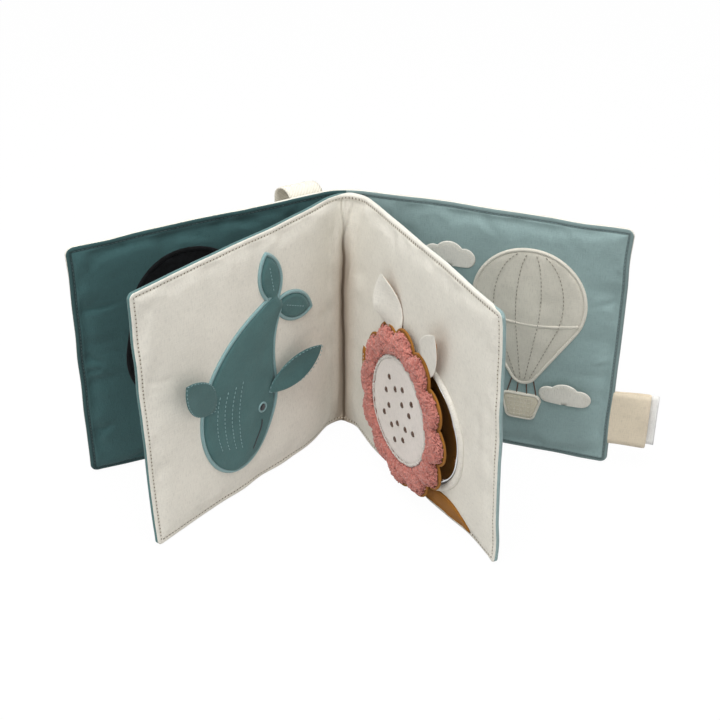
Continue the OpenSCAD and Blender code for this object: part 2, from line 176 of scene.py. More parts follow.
# creases are (u and v of both ends, depth, width)
innerPanel = dict(
    sheet=innerSheet, low=-(book["leafWidth"] - leafOff[-1]), high=book["leafWidth"] - leafOff[1],
    hemLow=True, hemHigh=True, fill=leafFill, seed=21, corner=3.5, folds=2.6, sag=0.,
    creases=[(-182, 118, -160, 112, .35, 1.6), (-178, 40, -150, 46, .3, 2), (-60, 172, -84, 160, .3, 1.8),
             (150, 20, 158, 165, .5, 5), (172, 30, 168, 172, .45, 4), (130, 176, 138, 150, .35, 2.5),
             (60, 176, 70, 152, .3, 2.5), (180, 160, 160, 150, .4, 2)])
frontPanel = dict(
    sheet=outerSheet, low=-coverReach, high=0.,
    hemLow=True, hemHigh=False, fill=coverFill, seed=34, corner=5, folds=5.2, sag=.015,
    creases=[(-189, 131, -152, 136, .75, 1.5), (-190, 98, -172, 88, 1.1, 2.2), (-190, 84, -172, 88, .7, 2.2),
             (-158, 177, -152, 166, .7, 1.6), (-176, 150, -150, 158, .5, 3), (-158, 20, -164, 62, .6, 2.6),
             (-142, 10, -150, 50, .5, 3.2), (-120, 172, -95, 166, .55, 2.4), (-186, 30, -170, 44, .6, 2.4),
             (-80, 174, -60, 168, .5, 2.4)])
backPanel = dict(
    sheet=outerSheet, low=0., high=coverReach,
    hemLow=False, hemHigh=True, fill=coverFill, seed=47, corner=5, folds=4.8, sag=0.,
    creases=[(187, 128, 160, 118, .6, 2), (188, 112, 170, 122, .5, 1.8), (186, 80, 172, 76, .55, 1.7),
             (162, 20, 166, 60, .5, 2.4), (150, 172, 168, 150, .6, 3), (92, 174, 110, 160, .5, 2.6),
             (120, 12, 126, 26, .5, 2), (186, 45, 168, 52, .45, 2), (60, 172, 72, 158, .5, 2.4)])
noHem = 1e3   # distance to an end that has no hem


def edgeDistance(panel, u, v):
    # distances to the nearest hemmed end and to the nearer of top and bottom
    far = np.full(np.shape(u), noHem)
    toLow = u - panel["low"] if panel["hemLow"] else far
    toHigh = panel["high"] - u if panel["hemHigh"] else far
    return np.minimum(toLow, toHigh), np.minimum(v, book["height"] - v)


def fullness(panel, u, side):
    # 1 where the pocket holds wadding, easing to the least share in the flat strip beside the spine; a
    # leaf's back and a cover's lining, which come to lie on each other, fill out more slowly
    fill = panel["fill"]
    reach = fill["front" if side > 0 else "back"]
    return fill["least"] + (1 - fill["least"]) * ease((np.abs(u) - fill["start"]) / reach)


leafWrap = dict(half=6, end=13, over=8)
coverWrap = dict(middle=.5, nearer=.32, start=150, over=20)


def hemSection(panel, u, v, d, side):
    # how far in and how high the cloth lies at distance d from the edge: the cream cloth is wrapped over
    # the right leaf's top and foot, the backing over the left leaf and both outer edges; a cover's two
    # cloths meet mid-edge, nearer to the reader along its top
    wrap = coverWrap["middle"] - coverWrap["nearer"] * ease((v - coverWrap["start"]) / coverWrap["over"])
    if panel is innerPanel:
        outerEnd = ease((u - panel["high"] + leafWrap["end"]) / leafWrap["over"])
        wrap = ease((u + leafWrap["half"]) / (2 * leafWrap["half"])) * (1 - outerEnd)
    cloths = ("front", "back") if side > 0 else ("back", "front")
    ownIn, ownN, otherIn, otherN = [np.interp(d, hem["inside"], hem[cloth + part])
                                    for cloth in cloths for part in ("In", "N")]
    return ownIn * (1 - wrap) + otherIn * wrap, ownN * (1 - wrap) - otherN * wrap


def wrinkles(panel, u, v, side):
    # bilinear reading of the pocket's wrinkle field for that side, zero outside the pockets
    total = np.zeros(np.broadcast(u, v).shape)
    for pocket in panel["pockets"]:
        field = pocket["front" if side > 0 else "back"]
        rows, cols = field.shape
        gx = np.clip((u - pocket["low"]) / (pocket["high"] - pocket["low"]), 0, 1) * (rows - 1)
        gy = np.clip(v / book["height"], 0, 1) * (cols - 1)
        ix, iy = np.minimum(gx.astype(int), rows - 2), np.minimum(gy.astype(int), cols - 2)
        total = total + bilinear(field, ix, iy, gx - ix, gy - iy)
    return total


def creaseDepth(panel, u, v):
    # for each crease: a bell-shaped valley along its line with half as high a ridge beside it, faded at
    # both ends
    total = np.zeros(np.shape(u))
    for u0, v0, u1, v1, deep, wide in panel["creases"]:
        length = np.hypot(u1 - u0, v1 - v0)
        along = ((u - u0) * (u1 - u0) + (v - v0) * (v1 - v0)) / length ** 2
        aside = ((u - u0) * (v1 - v0) - (v - v0) * (u1 - u0)) / length
        fade = ease(along / .35 + .3) * ease((1 - along) / .45)
        total = total + deep * fade * (bell(aside / wide) - .5 * bell(aside / wide - 1.9))
    return total


gutter = dict(pinch=4.1, wide=1.7, full=2.1, fullAt=8, fullWide=6.5, partsAt=160, ridge=1.3, slope=20 / 74,
              ridgeFrom=104, driftWide=9)


def seamDrift(u, v):
    # how far the gutter seam strays sideways at height v, fading out within a few millimetres of it
    stray = 1.3 * softNoise(v, 3., 31, 13) + .6 * softNoise(v, 5., 12, 14)
    return stray * bell(u / gutter["driftWide"])


def gutterHeight(u, v):
    # the pads swell on both sides of one deep seam, up to three quarters of the height, where the seam
    # parts into two creases that reach the top hem; a fold leaves it at mid height and climbs to the
    # right, and a faint crease lies on the left
    whole = ease((gutter["partsAt"] - v) / 22)
    u = u - seamDrift(u, v)
    swell = gutter["full"] * bell((np.abs(u) - gutter["fullAt"]) / gutter["fullWide"])
    n = swell * ease((172 - v) / 45) * ease(v / 30)
    n = n - gutter["pinch"] * whole * np.exp(-(np.abs(u) / gutter["wide"]) ** 1.2)
    apart = np.maximum(v - 148, 0) / 28
    for reach in (-1.5, 8):
        n = n - 1.7 * (1 - whole) * bell((u - reach * apart) / .95)
    fold = gutter["slope"] * (v - gutter["ridgeFrom"])
    n = n - gutter["ridge"] * ease((fold - u + 1.2) / 2.4) * ease((u + 1) / 4) * ease((v - 100) / 25)
    return n - .45 * bell(u + 13 + .02 * v) * ease((v - 70) / 60)


pucker = dict(fine=.36, fineSize=4.6, broad=.42, broadSize=11, at=5.2, wide=3.2)


def hemPucker(panel, run, d, side):
    # two sizes of noise along the hem, strongest a little way behind the stitch line
    fine = softNoise(run, 7. + side, pucker["fineSize"], panel["seed"])
    broad = softNoise(run, 3. + side, pucker["broadSize"], panel["seed"] + 1)
    near = bell((d - pucker["at"]) / pucker["wide"]) * ease((d - 2.2) / 1.5)
    return (pucker["fine"] * fine + pucker["broad"] * broad) * near


def panelHeight(panel, u, v, side):
    # hem section, then the padded swell times fullness, then puckers, wrinkles and creases, and last the
    # crease of a cover beside the spine or the gutter of the leaves; neither side passes the other
    u, v = together(u, v)
    du, dv = edgeDistance(panel, u, v)
    d = np.minimum(du, dv)
    base = hemSection(panel, u, v, d, side)[1]
    groove = side * hem["groove"]
    n = np.where(d > book["stitchIn"], groove + (base - groove) * fullness(panel, u, side), base)
    n = n + side * hemPucker(panel, np.where(du < dv, v, u) + hem["shift"], d, side)
    fold = wrinkles(panel, u, v, side) - (1.5 * creaseDepth(panel, u, v) if side > 0 else 0)
    n = n + side * np.where(fold > 0, .25 * fold, fold) * ease((d - 3) / 5)
    if panel is not innerPanel:
        fromCrease = np.abs(u) - book["spineHalf"] - slack["crease"]
        n = n - side * .8 * bell(fromCrease / 1.5) * ease((d - 3) / 4)
        return np.where(d > 3, side * np.maximum(side * n, .5), n)
    inHem = ease((d - 2.5) / 3)
    if side < 0:
        return n + .9 * bell(u / 2.5) * inHem
    n = n + gutterHeight(u, v) * inHem
    return np.where(d > 3, np.maximum(n, -.2), n)


def panelPoint(panel, u, v, side, lift=0.):
    # grid place, drawn in by the hem section and rounded at the corners (square to disc), at its height; the
    # edges stray a little and a cover's outer end may sag
    u, v = together(u, v)
    n = panelHeight(panel, u, v, side) + side * lift
    du, dv = edgeDistance(panel, u, v)
    su, sv = [np.where(d < hem["reach"], hemSection(panel, u, v, d, side)[0], d) for d in (du, dv)]
    r = panel["corner"]
    a, b = np.clip((r - su) / r, 0, 2), np.clip((r - sv) / r, 0, 2)
    su = np.where(a > 0, r * (1 - a * np.sqrt(np.maximum(1 - b * b / 2, .3))), su)
    sv = np.where(b > 0, r * (1 - b * np.sqrt(np.maximum(1 - a * a / 2, .3))), sv)
    nearLow = panel["hemLow"]
    if panel["hemLow"] and panel["hemHigh"]:
        nearLow = u - panel["low"] < panel["high"] - u
    uu = np.where(du < noHem / 2, np.where(nearLow, panel["low"] + su, panel["high"] - su), u)
    vv = np.where(v < book["height"] / 2, sv + .75 * (1 - ease(v / 30)), book["height"] - sv)
    vv = vv * (1 - panel["sag"] * (u / coverReach) ** 2)
    upStray = softNoise(u + slack["shift"], 2., 23, panel["seed"]) * ease((np.abs(u) - 30) / 30)
    outStray = softNoise(v + 30, 4., 21, panel["seed"]) * ease((np.abs(u) - 150) / 35)
    vv = vv + slack["stray"] * upStray * ease((v - 150) / 30)
    return onSheet(panel["sheet"], uu + slack["stray"] * outStray, vv, n)


def smoothField(field, times):
    # repeated average of each point with its four neighbours
    for _ in range(times):
        p = np.pad(field, 1, mode="edge")
        field = (p[:-2, 1:-1] + p[2:, 1:-1] + p[1:-1, :-2] + p[1:-1, 2:] + field) / 5
    return field


def gridFaces(rows, cols, wrapRows=False, wrapCols=False):
    # quads between neighbouring grid points, with the last row or column joined to the first if asked
    i, j = gridOf(np.arange(rows if wrapRows else rows - 1), np.arange(cols if wrapCols else cols - 1))
    i2, j2 = (i + 1) % rows, (j + 1) % cols
    return np.stack([i * cols + j, i2 * cols + j, i2 * cols + j2, i * cols + j2], -1).reshape(-1, 4)


def manyFaces(quads, copies, size):
    # the same quads for each of many copies of a small grid of that many points
    return (quads[None] + np.arange(copies)[:, None, None] * size).reshape(-1, 4)


pocketCloth = dict(spacing=4.6, frames=20, spare=-.035, pressure=3.2, depth=.95, spread=.42, most=1.2)


def blownUp(x, y, rough):
    # heights of a flat grid of cloth held along its hem, cut a little too large and blown up by pressure
    mesh = bpy.data.meshes.new("pocket")
    mesh.from_pydata(np.stack([x, y, rough], -1).reshape(-1, 3).tolist(), [], gridFaces(*x.shape).tolist())
    pocket = bpy.data.objects.new("pocket", mesh)
    scene.collection.objects.link(pocket)
    held = np.zeros(x.shape, bool)
    held[[0, -1], :] = held[:, [0, -1]] = True
    pocket.vertex_groups.new(name="sewn").add(np.flatnonzero(held.ravel()).tolist(), 1, "REPLACE")
    cloth = pocket.modifiers.new("cloth", "CLOTH")
    s = cloth.settings
    s.quality, s.mass, s.bending_stiffness = 6, .25, .35
    s.tension_stiffness = s.compression_stiffness = 18
    s.vertex_group_mass = "sewn"
    s.shrink_min = pocketCloth["spare"]
    s.use_pressure, s.uniform_pressure_force = True, pocketCloth["pressure"]
    s.effector_weights.gravity = 0
    cloth.collision_settings.use_collision = False
    cloth.point_cache.frame_start, cloth.point_cache.frame_end = 1, pocketCloth["frames"]
    for f in range(1, pocketCloth["frames"] + 1):
        scene.frame_set(f)
    result = pocket.evaluated_get(bpy.context.evaluated_depsgraph_get()).to_mesh()
    co = np.empty(len(result.vertices) * 3)
    result.vertices.foreach_get("co", co)
    bpy.data.objects.remove(pocket)
    scene.frame_set(1)
    return co.reshape(*x.shape, 3)[:, :, 2]


def pocketWrinkles(width, seed):
    nu, nv = [int(size / pocketCloth["spacing"]) + 1 for size in (width, book["height"])]
    x, y = gridOf(np.linspace(0, width / 100, nu), np.linspace(0, book["height"] / 100, nv))
    field = blownUp(x, y, .012 * softNoise(x, y, .16, seed) + .008 * softNoise(x, y, .07, seed + 1))
    field = smoothField(field, 1) - smoothField(field, 22)
    most = pocketCloth["most"]
    return np.clip(field / (field.std() + 1e-9) * pocketCloth["spread"], -most, most) * pocketCloth["depth"]


def addPockets(panel, *spans):
    # a wrinkle field for each side of each padded span, zero at both ends; the front is folded deeper
    panel["pockets"] = []
    for k, (low, high) in enumerate(spans):
        pocket = dict(low=low, high=high)
        for key, step, deep in (("front", 0, panel["folds"]), ("back", 60, 1)):
            pocket[key] = pocketWrinkles(high - low, panel["seed"] + step + k) * deep
            pocket[key][[0, -1], :] = 0
        panel["pockets"].append(pocket)


addPockets(innerPanel, (innerPanel["low"], -6), (6, innerPanel["high"]))
addPockets(frontPanel, (frontPanel["low"], -coverFill["start"]))
addPockets(backPanel, (coverFill["start"], backPanel["high"]))
print("book: pockets settled")


hemThread = dict(pitch=2.7, gap=.38, radius=.26, lift=.12)


def toLinear(r, g, b):
    # sRGB bytes to linear light
    c = np.array([r, g, b]) / 255
    return tuple(np.where(c < .04045, c / 12.92, ((c + .055) / 1.055) ** 2.4)) + (1.,)


def shade(colour, k):
    # a colour k times as bright
    return tuple(min(1., c * k) for c in colour[:3]) + (1.,)


class Nodes:
    # short hand for building the node tree of a material or of the world
    def __init__(self, owner):
        owner.use_nodes = True
        self.owner = owner
        self.tree = owner.node_tree

    def put(self, value, socket):
        # a number or a colour is set on the socket, anything else is linked to it
        if isinstance(value, (int, float, tuple)):
            socket.default_value = value
        else:
            self.tree.links.new(value, socket)

    def node(self, kind, inputs, output=0, **settings):
        # a new node with these settings and inputs, giving back one of its outputs
        made = self.tree.nodes.new("ShaderNode" + kind)
        for key, value in settings.items():
            setattr(made, key, value)
        for key, value in inputs.items():
            self.put(value, made.inputs[key])
        return made.outputs[output]

    def uv(self, name):
        # one of the piece's own maps
        return self.node("UVMap", {}, uv_map=name)

    def place(self):
        # the piece's own coordinates
        return self.node("TexCoord", {}, "Object")

    def part(self, vector, axis):
        # one axis of a vector
        return self.node("SeparateXYZ", {0: vector}, axis)

    def math(self, operation, a, b=0.):
        # one sum of one or two values
        return self.node("Math", {0: a, 1: b}, operation=operation)

    def noise(self, vector, scale, detail=3.):
        # cloudy noise, finer with a larger scale
        return self.node("TexNoise", {"Vector": vector, "Scale": scale, "Detail": detail}, "Fac")

    def streaks(self, vector, along, across):
        # noise drawn out along one direction
        drawn = self.node("VectorMath", {0: vector, 1: (along, across, 1)}, operation="MULTIPLY")
        return self.noise(drawn, 1., 2.)

    def wave(self, vector, pitch, axis="X", distort=.6):
        # bands across one axis at the given pitch
        inputs = {"Vector": vector, "Scale": np.pi / 10 / pitch, "Distortion": distort, "Detail Scale": 2.}
        return self.node("TexWave", inputs, "Fac", bands_direction=axis)

    def mix(self, factor, a, b):
        # from colour a to colour b by the factor
        return self.node("Mix", {0: factor, 6: a, 7: b}, 2, data_type="RGBA")

    def ramp(self, value, low, high, a=0., b=1.):
        # a smooth step from a to b while value goes from low to high
        inputs = dict(enumerate((value, low, high, a, b)))
        return self.node("MapRange", inputs, interpolation_type="SMOOTHSTEP")

    def bump(self, height, distance, strength=1., after=None):
        # a bumped normal, on top of another if given
        inputs = {"Height": height, "Distance": distance, "Strength": strength}
        if after is not None:
            inputs["Normal"] = after
        return self.node("Bump", inputs, "Normal")

    def seen(self):
        # 1 for what the camera sees, also in or through something else
        path = self.tree.nodes.new("ShaderNodeLightPath")
        share = path.outputs["Is Camera Ray"]
        for kind in ("Is Glossy Ray", "Is Transmission Ray"):
            share = self.math("MAXIMUM", share, path.outputs[kind])
        return share

    def surface(self, first, second, share, output):
        # two shaders mixed by share, linked to the tree's output node
        mixed = self.node("MixShader", {0: share, 1: first, 2: second})
        self.put(mixed, self.tree.nodes[output].inputs["Surface"])


class Surface(Nodes):
    # a new material with its shader's values
    def __init__(self, name, rough, sheen=0., specular=.3, metallic=0.):
        super().__init__(bpy.data.materials.new(name))
        self.shader = self.tree.nodes["Principled BSDF"]
        values = {"Roughness": rough, "Sheen Weight": sheen, "Sheen Roughness": .5,
                  "Specular IOR Level": specular, "Metallic": metallic}
        for key, value in values.items():
            self.shader.inputs[key].default_value = value

    def finish(self, colour, normal):
        # colour and normal go to the shader
        self.put(colour, self.shader.inputs["Base Color"])
        self.put(normal, self.shader.inputs["Normal"])
        return self.owner


# scales of the weave: slow mottling, yarns along and across, hairs; the painted shade of the gutter's
# crease as (tone, width, most)
weave = dict(mottle=45, fine=1400, coarse=230, hairs=420, gutterShade=((1, .017, .68), (.62, .0018, .9)))


def wovenCloth(name, rgb, pitch=.00045, uneven=.05, sheen=.15, rough=.88, fuzz=0., groove=None, rolled=0.,
               dots=None, gutterShadeRgb=None):
    # plain weave: two crossed thread waves in the bump, streaks of thicker yarn and slow mottling in the
    # colour; on a hemmed panel painted shade at the needle holes, along the stitch groove and on the outer
    # hem band follows the hem's own map, and painted shade of the gutter's crease lies where the flat map's
    # x is 0
    m = Surface(name, rough, sheen)
    flat, base = m.uv("flat"), toLinear(*rgb)
    mottle = m.ramp(m.noise(flat, weave["mottle"]), .3, .7)
    colour = m.mix(mottle, shade(base, 1 - uneven), shade(base, 1 + uneven))
    warp = m.streaks(flat, weave["fine"], weave["coarse"])
    weft = m.streaks(flat, weave["coarse"], weave["fine"])
    for yarn, tone in ((warp, .8), (weft, 1.1)):
        colour = m.mix(m.ramp(yarn, .45, .75, 0, .55), colour, shade(base, tone))
    if groove:
        along, inside = [m.part(m.uv("hem"), axis) for axis in "XY"]
        fromLine = m.math("ABSOLUTE", m.math("SUBTRACT", inside, book["stitchIn"] / 1000))
        # painted shade: the outer hem band darkened by the share rolled, and the stitch groove darkened to
        # the factor groove
        colour = m.mix(m.ramp(inside, .0016, .0034, rolled, 0), colour, shade(base, groove))
        colour = m.mix(m.ramp(fromLine, .0003, .0010, .9, 0), colour, shade(base, groove))
    if dots:
        # painted shade: a dark dot at each needle hole on the stitch line
        step = m.math("FRACT", m.math("DIVIDE", along, hemThread["pitch"] / 1000))
        hole = m.math("LESS_THAN", m.math("ABSOLUTE", m.math("SUBTRACT", step, .5)), .15)
        hole = m.math("MULTIPLY", hole, m.math("LESS_THAN", fromLine, .00045))
        colour = m.mix(hole, colour, toLinear(*dots))
    # painted shade of the gutter's crease: a wide soft darkening and a narrow dark line along the seam,
    # fading out near the top
    if gutterShadeRgb:
        for tone, wide, most in weave["gutterShade"]:
            gutterShade = m.ramp(m.math("ABSOLUTE", m.part(flat, "X")), .0003, wide, most, 0)
            gutterShade = m.math("MULTIPLY", gutterShade, m.ramp(m.part(flat, "Y"), .135 - wide, .168, 1, 0))
            colour = m.mix(gutterShade, colour, toLinear(*[tone * c for c in gutterShadeRgb]))
    crossed = m.math("MAXIMUM", m.wave(flat, pitch, "X"), m.wave(flat, pitch, "Y"))
    normal = m.bump(crossed, .00012, .5)
    normal = m.bump(m.math("MAXIMUM", warp, weft), .0003, .6, normal)
    normal = m.bump(m.noise(flat, weave["hairs"], 4), .00025, .55 + fuzz, normal)
    return m.finish(colour, normal)


def satinThread(name, rgb, pitch=.0005, rough=.5):
    # side-by-side threads across a bead: one fine wave along the path in bump and colour, the colour
    #     # darker in the wave's troughs as painted shade between the strands
    m = Surface(name, rough, .2, .4)
    flat, base = m.uv("flat"), toLinear(*rgb)
    strands = m.wave(flat, pitch, "X", .8)
    colour = m.mix(strands, shade(base, .78), shade(base, 1.06))
    colour = m.mix(m.ramp(m.noise(flat, 260), .4, .7, 0, .4), colour, shade(base, .88))
    return m.finish(colour, m.bump(strands, .0002, .7))


def sewingThread(name, rgb):
    # a coarser, duller thread
    return satinThread(name, rgb, .0009, .75)


def pileFabric(name, rgb, dark, rough=.95, sheen=.4):
    # long fibres: streaked colour from root to tip and a coarse fibrous bump
    m = Surface(name, rough, sheen, .12)
    place, base = m.place(), toLinear(*rgb)
    colour = m.mix(m.ramp(m.noise(place, 260, 4), .3, .7), toLinear(*dark), base)
    colour = m.mix(m.ramp(m.noise(place, 1800, 2), .4, .8, 0, .35), colour, shade(base, 1.15))
    return m.finish(colour, m.bump(m.noise(place, 1500, 4), .0003, .4))


def ribbedWebbing(name, rgb, pitch=.0011):
    # twill ribs across the webbing, with a finer thread along it; the colour is darker in the ribs'
    #     # troughs as painted shade
    m = Surface(name, .8, .15)
    flat, base = m.uv("flat"), toLinear(*rgb)
    ribs = m.wave(flat, pitch, "DIAGONAL", .3)
    fine = m.wave(flat, .0006, "Y", .4)
    colour = m.mix(ribs, shade(base, .88), base)
    colour = m.mix(m.ramp(m.noise(flat, 90), .4, .7, 0, .5), colour, shade(base, .94))
    return m.finish(colour, m.bump(fine, .0001, .4, m.bump(ribs, .00025, .7)))


def mirrorFilm(name):
    # soft mirror plastic: bright metal with a faint wave and fine scuffs
    m = Surface(name, .12, metallic=1.)
    place = m.place()
    scuffs = m.ramp(m.noise(place, 900, 3), .55, .8, 0, .25)
    colour = m.mix(scuffs, toLinear(214, 217, 219), toLinear(176, 180, 182))
    return m.finish(colour, m.bump(m.noise(place, 38, 2), .0012, .35))


# painted shade: dark dots at the needle holes and a darker stitch groove on the hemmed cloths, a darker
# outer hem band on the two linings, and a darker gutter crease on the leaves' cream
finish = dict(
    leafCream=wovenCloth("creamLeafCloth", (223, 219, 208), uneven=.03, dots=(104, 90, 74), groove=.93,
                         gutterShadeRgb=(150, 126, 100)),
    cream=wovenCloth("creamCloth", (223, 219, 208), uneven=.02, dots=(124, 108, 90), groove=.9),
    creamPlain=wovenCloth("creamCalico", (222, 218, 208)),
    teal=wovenCloth("tealBacking", (86, 118, 117), groove=.62),
    blue=wovenCloth("lightBlueCloth", (140, 162, 161), groove=.4, rolled=.5),
    leafBlue=wovenCloth("blueBacking", (138, 160, 159), groove=.6),
    darkTeal=wovenCloth("darkTealLining", (58, 92, 93), groove=.42, rolled=.45),
    tealMotif=wovenCloth("tealMotifCloth", (70, 105, 105), uneven=.1),
    mustard=wovenCloth("mustardCloth", (148, 97, 32), uneven=.1, pitch=.0007, sheen=.05),
    greyCream=wovenCloth("greyCreamCloth", (205, 200, 187), uneven=.06),
    whiteCloth=wovenCloth("whiteFelt", (222, 214, 207), uneven=.03, fuzz=.3),
    careCloth=wovenCloth("careTagSatin", (238, 237, 234), uneven=.02, rough=.55),
    labelCloth=wovenCloth("labelCotton", (221, 207, 184), uneven=.04, pitch=.0006),
    basketCloth=wovenCloth("basketCanvas", (206, 198, 178), uneven=.1, pitch=.0022),
    paleSatin=satinThread("paleTealSatin", (132, 166, 168)),
    creamSatin=satinThread("creamSatin", (226, 220, 206)),
    whiteSatin=satinThread("whiteSatin", (226, 220, 212)),
    brownThread=satinThread("brownThread", (84, 54, 32)),
    blackThread=satinThread("blackThread", (34, 38, 42)),
    creamThread=sewingThread("creamThread", (216, 209, 194)),
    greyThread=sewingThread("greyThread", (150, 143, 130)),
    darkThread=sewingThread("darkTealThread", (58, 82, 84)),
    blueThread=sewingThread("dullBlueThread", (104, 128, 130)),
    fleece=pileFabric("pinkFleece", (196, 127, 115), (173, 104, 94)),
    velvet=pileFabric("blackVelvet", (22, 23, 25), (10, 10, 11), sheen=.04),
    webbing=ribbedWebbing("creamWebbing", (230, 225, 211)),
    mirror=mirrorFilm("mirrorFilm"))
print("book: finishes mixed")


def makePiece(name, parts, finishes):
    # parts are (points in mm, quads, flat map in mm, material number[, hem map in mm]) and become one mesh
    starts = np.cumsum([0] + [len(p[0]) for p in parts])
    points = np.concatenate([p[0] for p in parts]) / 1000
    faces = np.concatenate([p[1] + s for p, s in zip(parts, starts)])
    mesh = bpy.data.meshes.new(name)
    mesh.from_pydata(points.tolist(), [], faces.tolist())
    for key in finishes:
        mesh.materials.append(finish[key])
    which = np.concatenate([np.broadcast_to(p[3], len(p[1])) for p in parts])
    mesh.polygons.foreach_set("material_index", which.astype(np.int32))
    loops = np.empty(len(mesh.loops), np.int32)
    mesh.loops.foreach_get("vertex_index", loops)
    maps = [("flat", 2)] + ([("hem", 4)] if len(parts[0]) > 4 else [])
    for mapName, k in maps:
        layer = mesh.uv_layers.new(name=mapName)
        places = np.concatenate([p[k] for p in parts])[loops] / 1000
        layer.data.foreach_set("uv", places.astype(np.float32).ravel())
    bm = bmesh.new()
    bm.from_mesh(mesh)
    bmesh.ops.remove_doubles(bm, verts=bm.verts, dist=2e-6)
    bmesh.ops.recalc_face_normals(bm, faces=bm.faces)
    bm.to_mesh(mesh)
    bm.free()
    mesh.shade_smooth()
    piece = bpy.data.objects.new(name, mesh)
    scene.collection.objects.link(piece)
    return piece


def rowsBetween(low, high, hemLow, hemHigh, step, close=()):
    # hem rows at the hemmed ends, an even step between, closer rows around the given places
    a, b = low + hem["reach"] * hemLow, high - hem["reach"] * hemHigh
    rows = [np.linspace(a, b, int((b - a) / step) + 2)]
    rows += [low + hem["inside"][:-1]] if hemLow else []
    rows += [high - hem["inside"][:-1]] if hemHigh else []
    rows = np.concatenate(rows)
    for at, half, fine in close:
        rows = np.concatenate([rows[np.abs(rows - at) > half], at + np.arange(-half, half + fine / 2, fine)])
    rows = np.unique(np.round(rows, 4))
    return rows[(rows >= low - 1e-6) & (rows <= high + 1e-6)]


def padShell(panel, close=(), step=1.9):
    # front and back cloth over one grid, meeting along the hem, capped where the sheet is cut at the spine
    us = rowsBetween(panel["low"], panel["high"], panel["hemLow"], panel["hemHigh"], step, close)
    vs = rowsBetween(0, book["height"], True, True, step)
    u, v = gridOf(us, vs)
    quads = gridFaces(len(us), len(vs))
    middle = u.ravel()[quads].mean(1)
    du, dv = edgeDistance(panel, u, v)
    drift = seamDrift(u, v) if panel is innerPanel else 0
    flat = np.stack([u - drift, v], -1).reshape(-1, 2)
    hemMap = np.stack([np.where(du < dv, v, u) + hem["shift"], np.minimum(du, dv)], -1).reshape(-1, 2)
    front, back = [panelPoint(panel, u, v, side).reshape(-1, 3) for side in (1, -1)]
    parts = [(front, quads, flat, 0, hemMap), (back, quads, flat, np.where(middle < 0, 1, 2), hemMap)]
    if panel is not innerPanel:
        cut = slice(-len(vs), None) if panel["hemLow"] else slice(0, len(vs))
        wall, wallFlat, wallHem = [np.concatenate([a[cut], b[cut]])
                                   for a, b in ((front, back), (flat, flat), (hemMap, hemMap))]
        parts.append((wall, gridFaces(2, len(vs)), wallFlat, 1, wallHem))
    return parts


# a thread at five places along it: share of the way, width and arch as shares of its radius
threadForm = dict(along=np.array([0, .1, .5, .9, 1]), wide=np.array([0, .8, 1, .8, 0]),
                  arch=np.array([-.56, .08, .48, .08, -.56]))


def threads(a, b, up, radius, sides=6):
    # short threads from a to b: rings of a tapering circle, arched a little upward
    along = threadForm["along"][:, None]
    run = b - a
    side = unitOf(np.cross(run, up))
    up = unitOf(np.cross(side, run))
    turn = np.arange(sides) * 2 * np.pi / sides
    centre = a[:, None] + run[:, None] * along + up[:, None] * threadForm["arch"][:, None] * radius
    ring = side[:, None] * np.cos(turn)[:, None] + up[:, None] * np.sin(turn)[:, None]
    points = centre[:, :, None] + ring[:, None] * threadForm["wide"][:, None, None] * radius
    quads = manyFaces(gridFaces(len(along), sides, wrapCols=True), len(a), len(along) * sides)
    flat = np.stack(np.broadcast_arrays(np.linalg.norm(run, axis=1)[:, None, None] * along, turn), -1)
    return points.reshape(-1, 3), quads, flat.reshape(-1, 2)


def stitchStarts(low, high):
    # places just after each needle hole between low and high, the holes lying halfway through each pitch
    pitch = hemThread["pitch"]
    first, last = [(end + hem["shift"]) / pitch - .5 for end in (low, high)]
    return (np.arange(np.ceil(first), np.floor(last)) + .5) * pitch - hem["shift"] + hemThread["gap"]


def hemStitches(panel, side, material):
    # running stitch along the groove of every hemmed edge, one thread per pitch
    inset = book["stitchIn"]
    length = hemThread["pitch"] - 2 * hemThread["gap"]
    low, high = panel["low"] + inset * panel["hemLow"], panel["high"] - inset * panel["hemHigh"]
    run, rise = stitchStarts(low + 1, high - 1), stitchStarts(inset + 1, book["height"] - inset - 1)
    rows = [(run, inset, length, 0), (run, book["height"] - inset, length, 0)]
    rows += [(low, rise, 0, length)] if panel["hemLow"] else []
    rows += [(high, rise, 0, length)] if panel["hemHigh"] else []
    ends = [np.broadcast_arrays(u, v, u + along, v + up) for u, v, along, up in rows]
    ua, va, ub, vb = [np.concatenate(column) for column in zip(*ends)]
    a = panelPoint(panel, ua, va, side, hemThread["lift"])
    b = panelPoint(panel, ub, vb, side, hemThread["lift"])
    up = panelPoint(panel, (ua + ub) / 2, (va + vb) / 2, side, 1.5) - (a + b) / 2
    return threads(a, b, up, hemThread["radius"]) + (material,)


# the padded leaves and covers, and the running stitch along their hems
leaves = makePiece("leaves", padShell(innerPanel, close=[(0, 7, .55)]), ["leafCream", "teal", "leafBlue"])
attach(leaves, "pages")
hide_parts("left_leaf_front", "left_leaf_back", "left_leaf_wadding",
            "right_leaf_front", "right_leaf_back", "right_leaf_wadding")
frontCover = makePiece("frontCover", padShell(frontPanel), ["darkTeal", "cream", "cream"])
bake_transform(frontCover)
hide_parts("front_cover_outer", "front_cover_lining", "front_cover_wadding", "spine_strip")
backCover = makePiece("backCover", padShell(backPanel), ["blue", "cream", "cream"])
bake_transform(backCover)
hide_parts("back_cover_outer", "back_cover_lining", "back_cover_wadding")
stitching = makePiece("leafStitching", [hemStitches(innerPanel, 1, 0), hemStitches(innerPanel, -1, 0)],
                      ["creamThread"])
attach(stitching, "pages")
stitching = makePiece("frontCoverStitching", [hemStitches(frontPanel, 1, 0), hemStitches(frontPanel, -1, 1)],
                      ["darkThread", "creamThread"])
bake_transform(stitching)
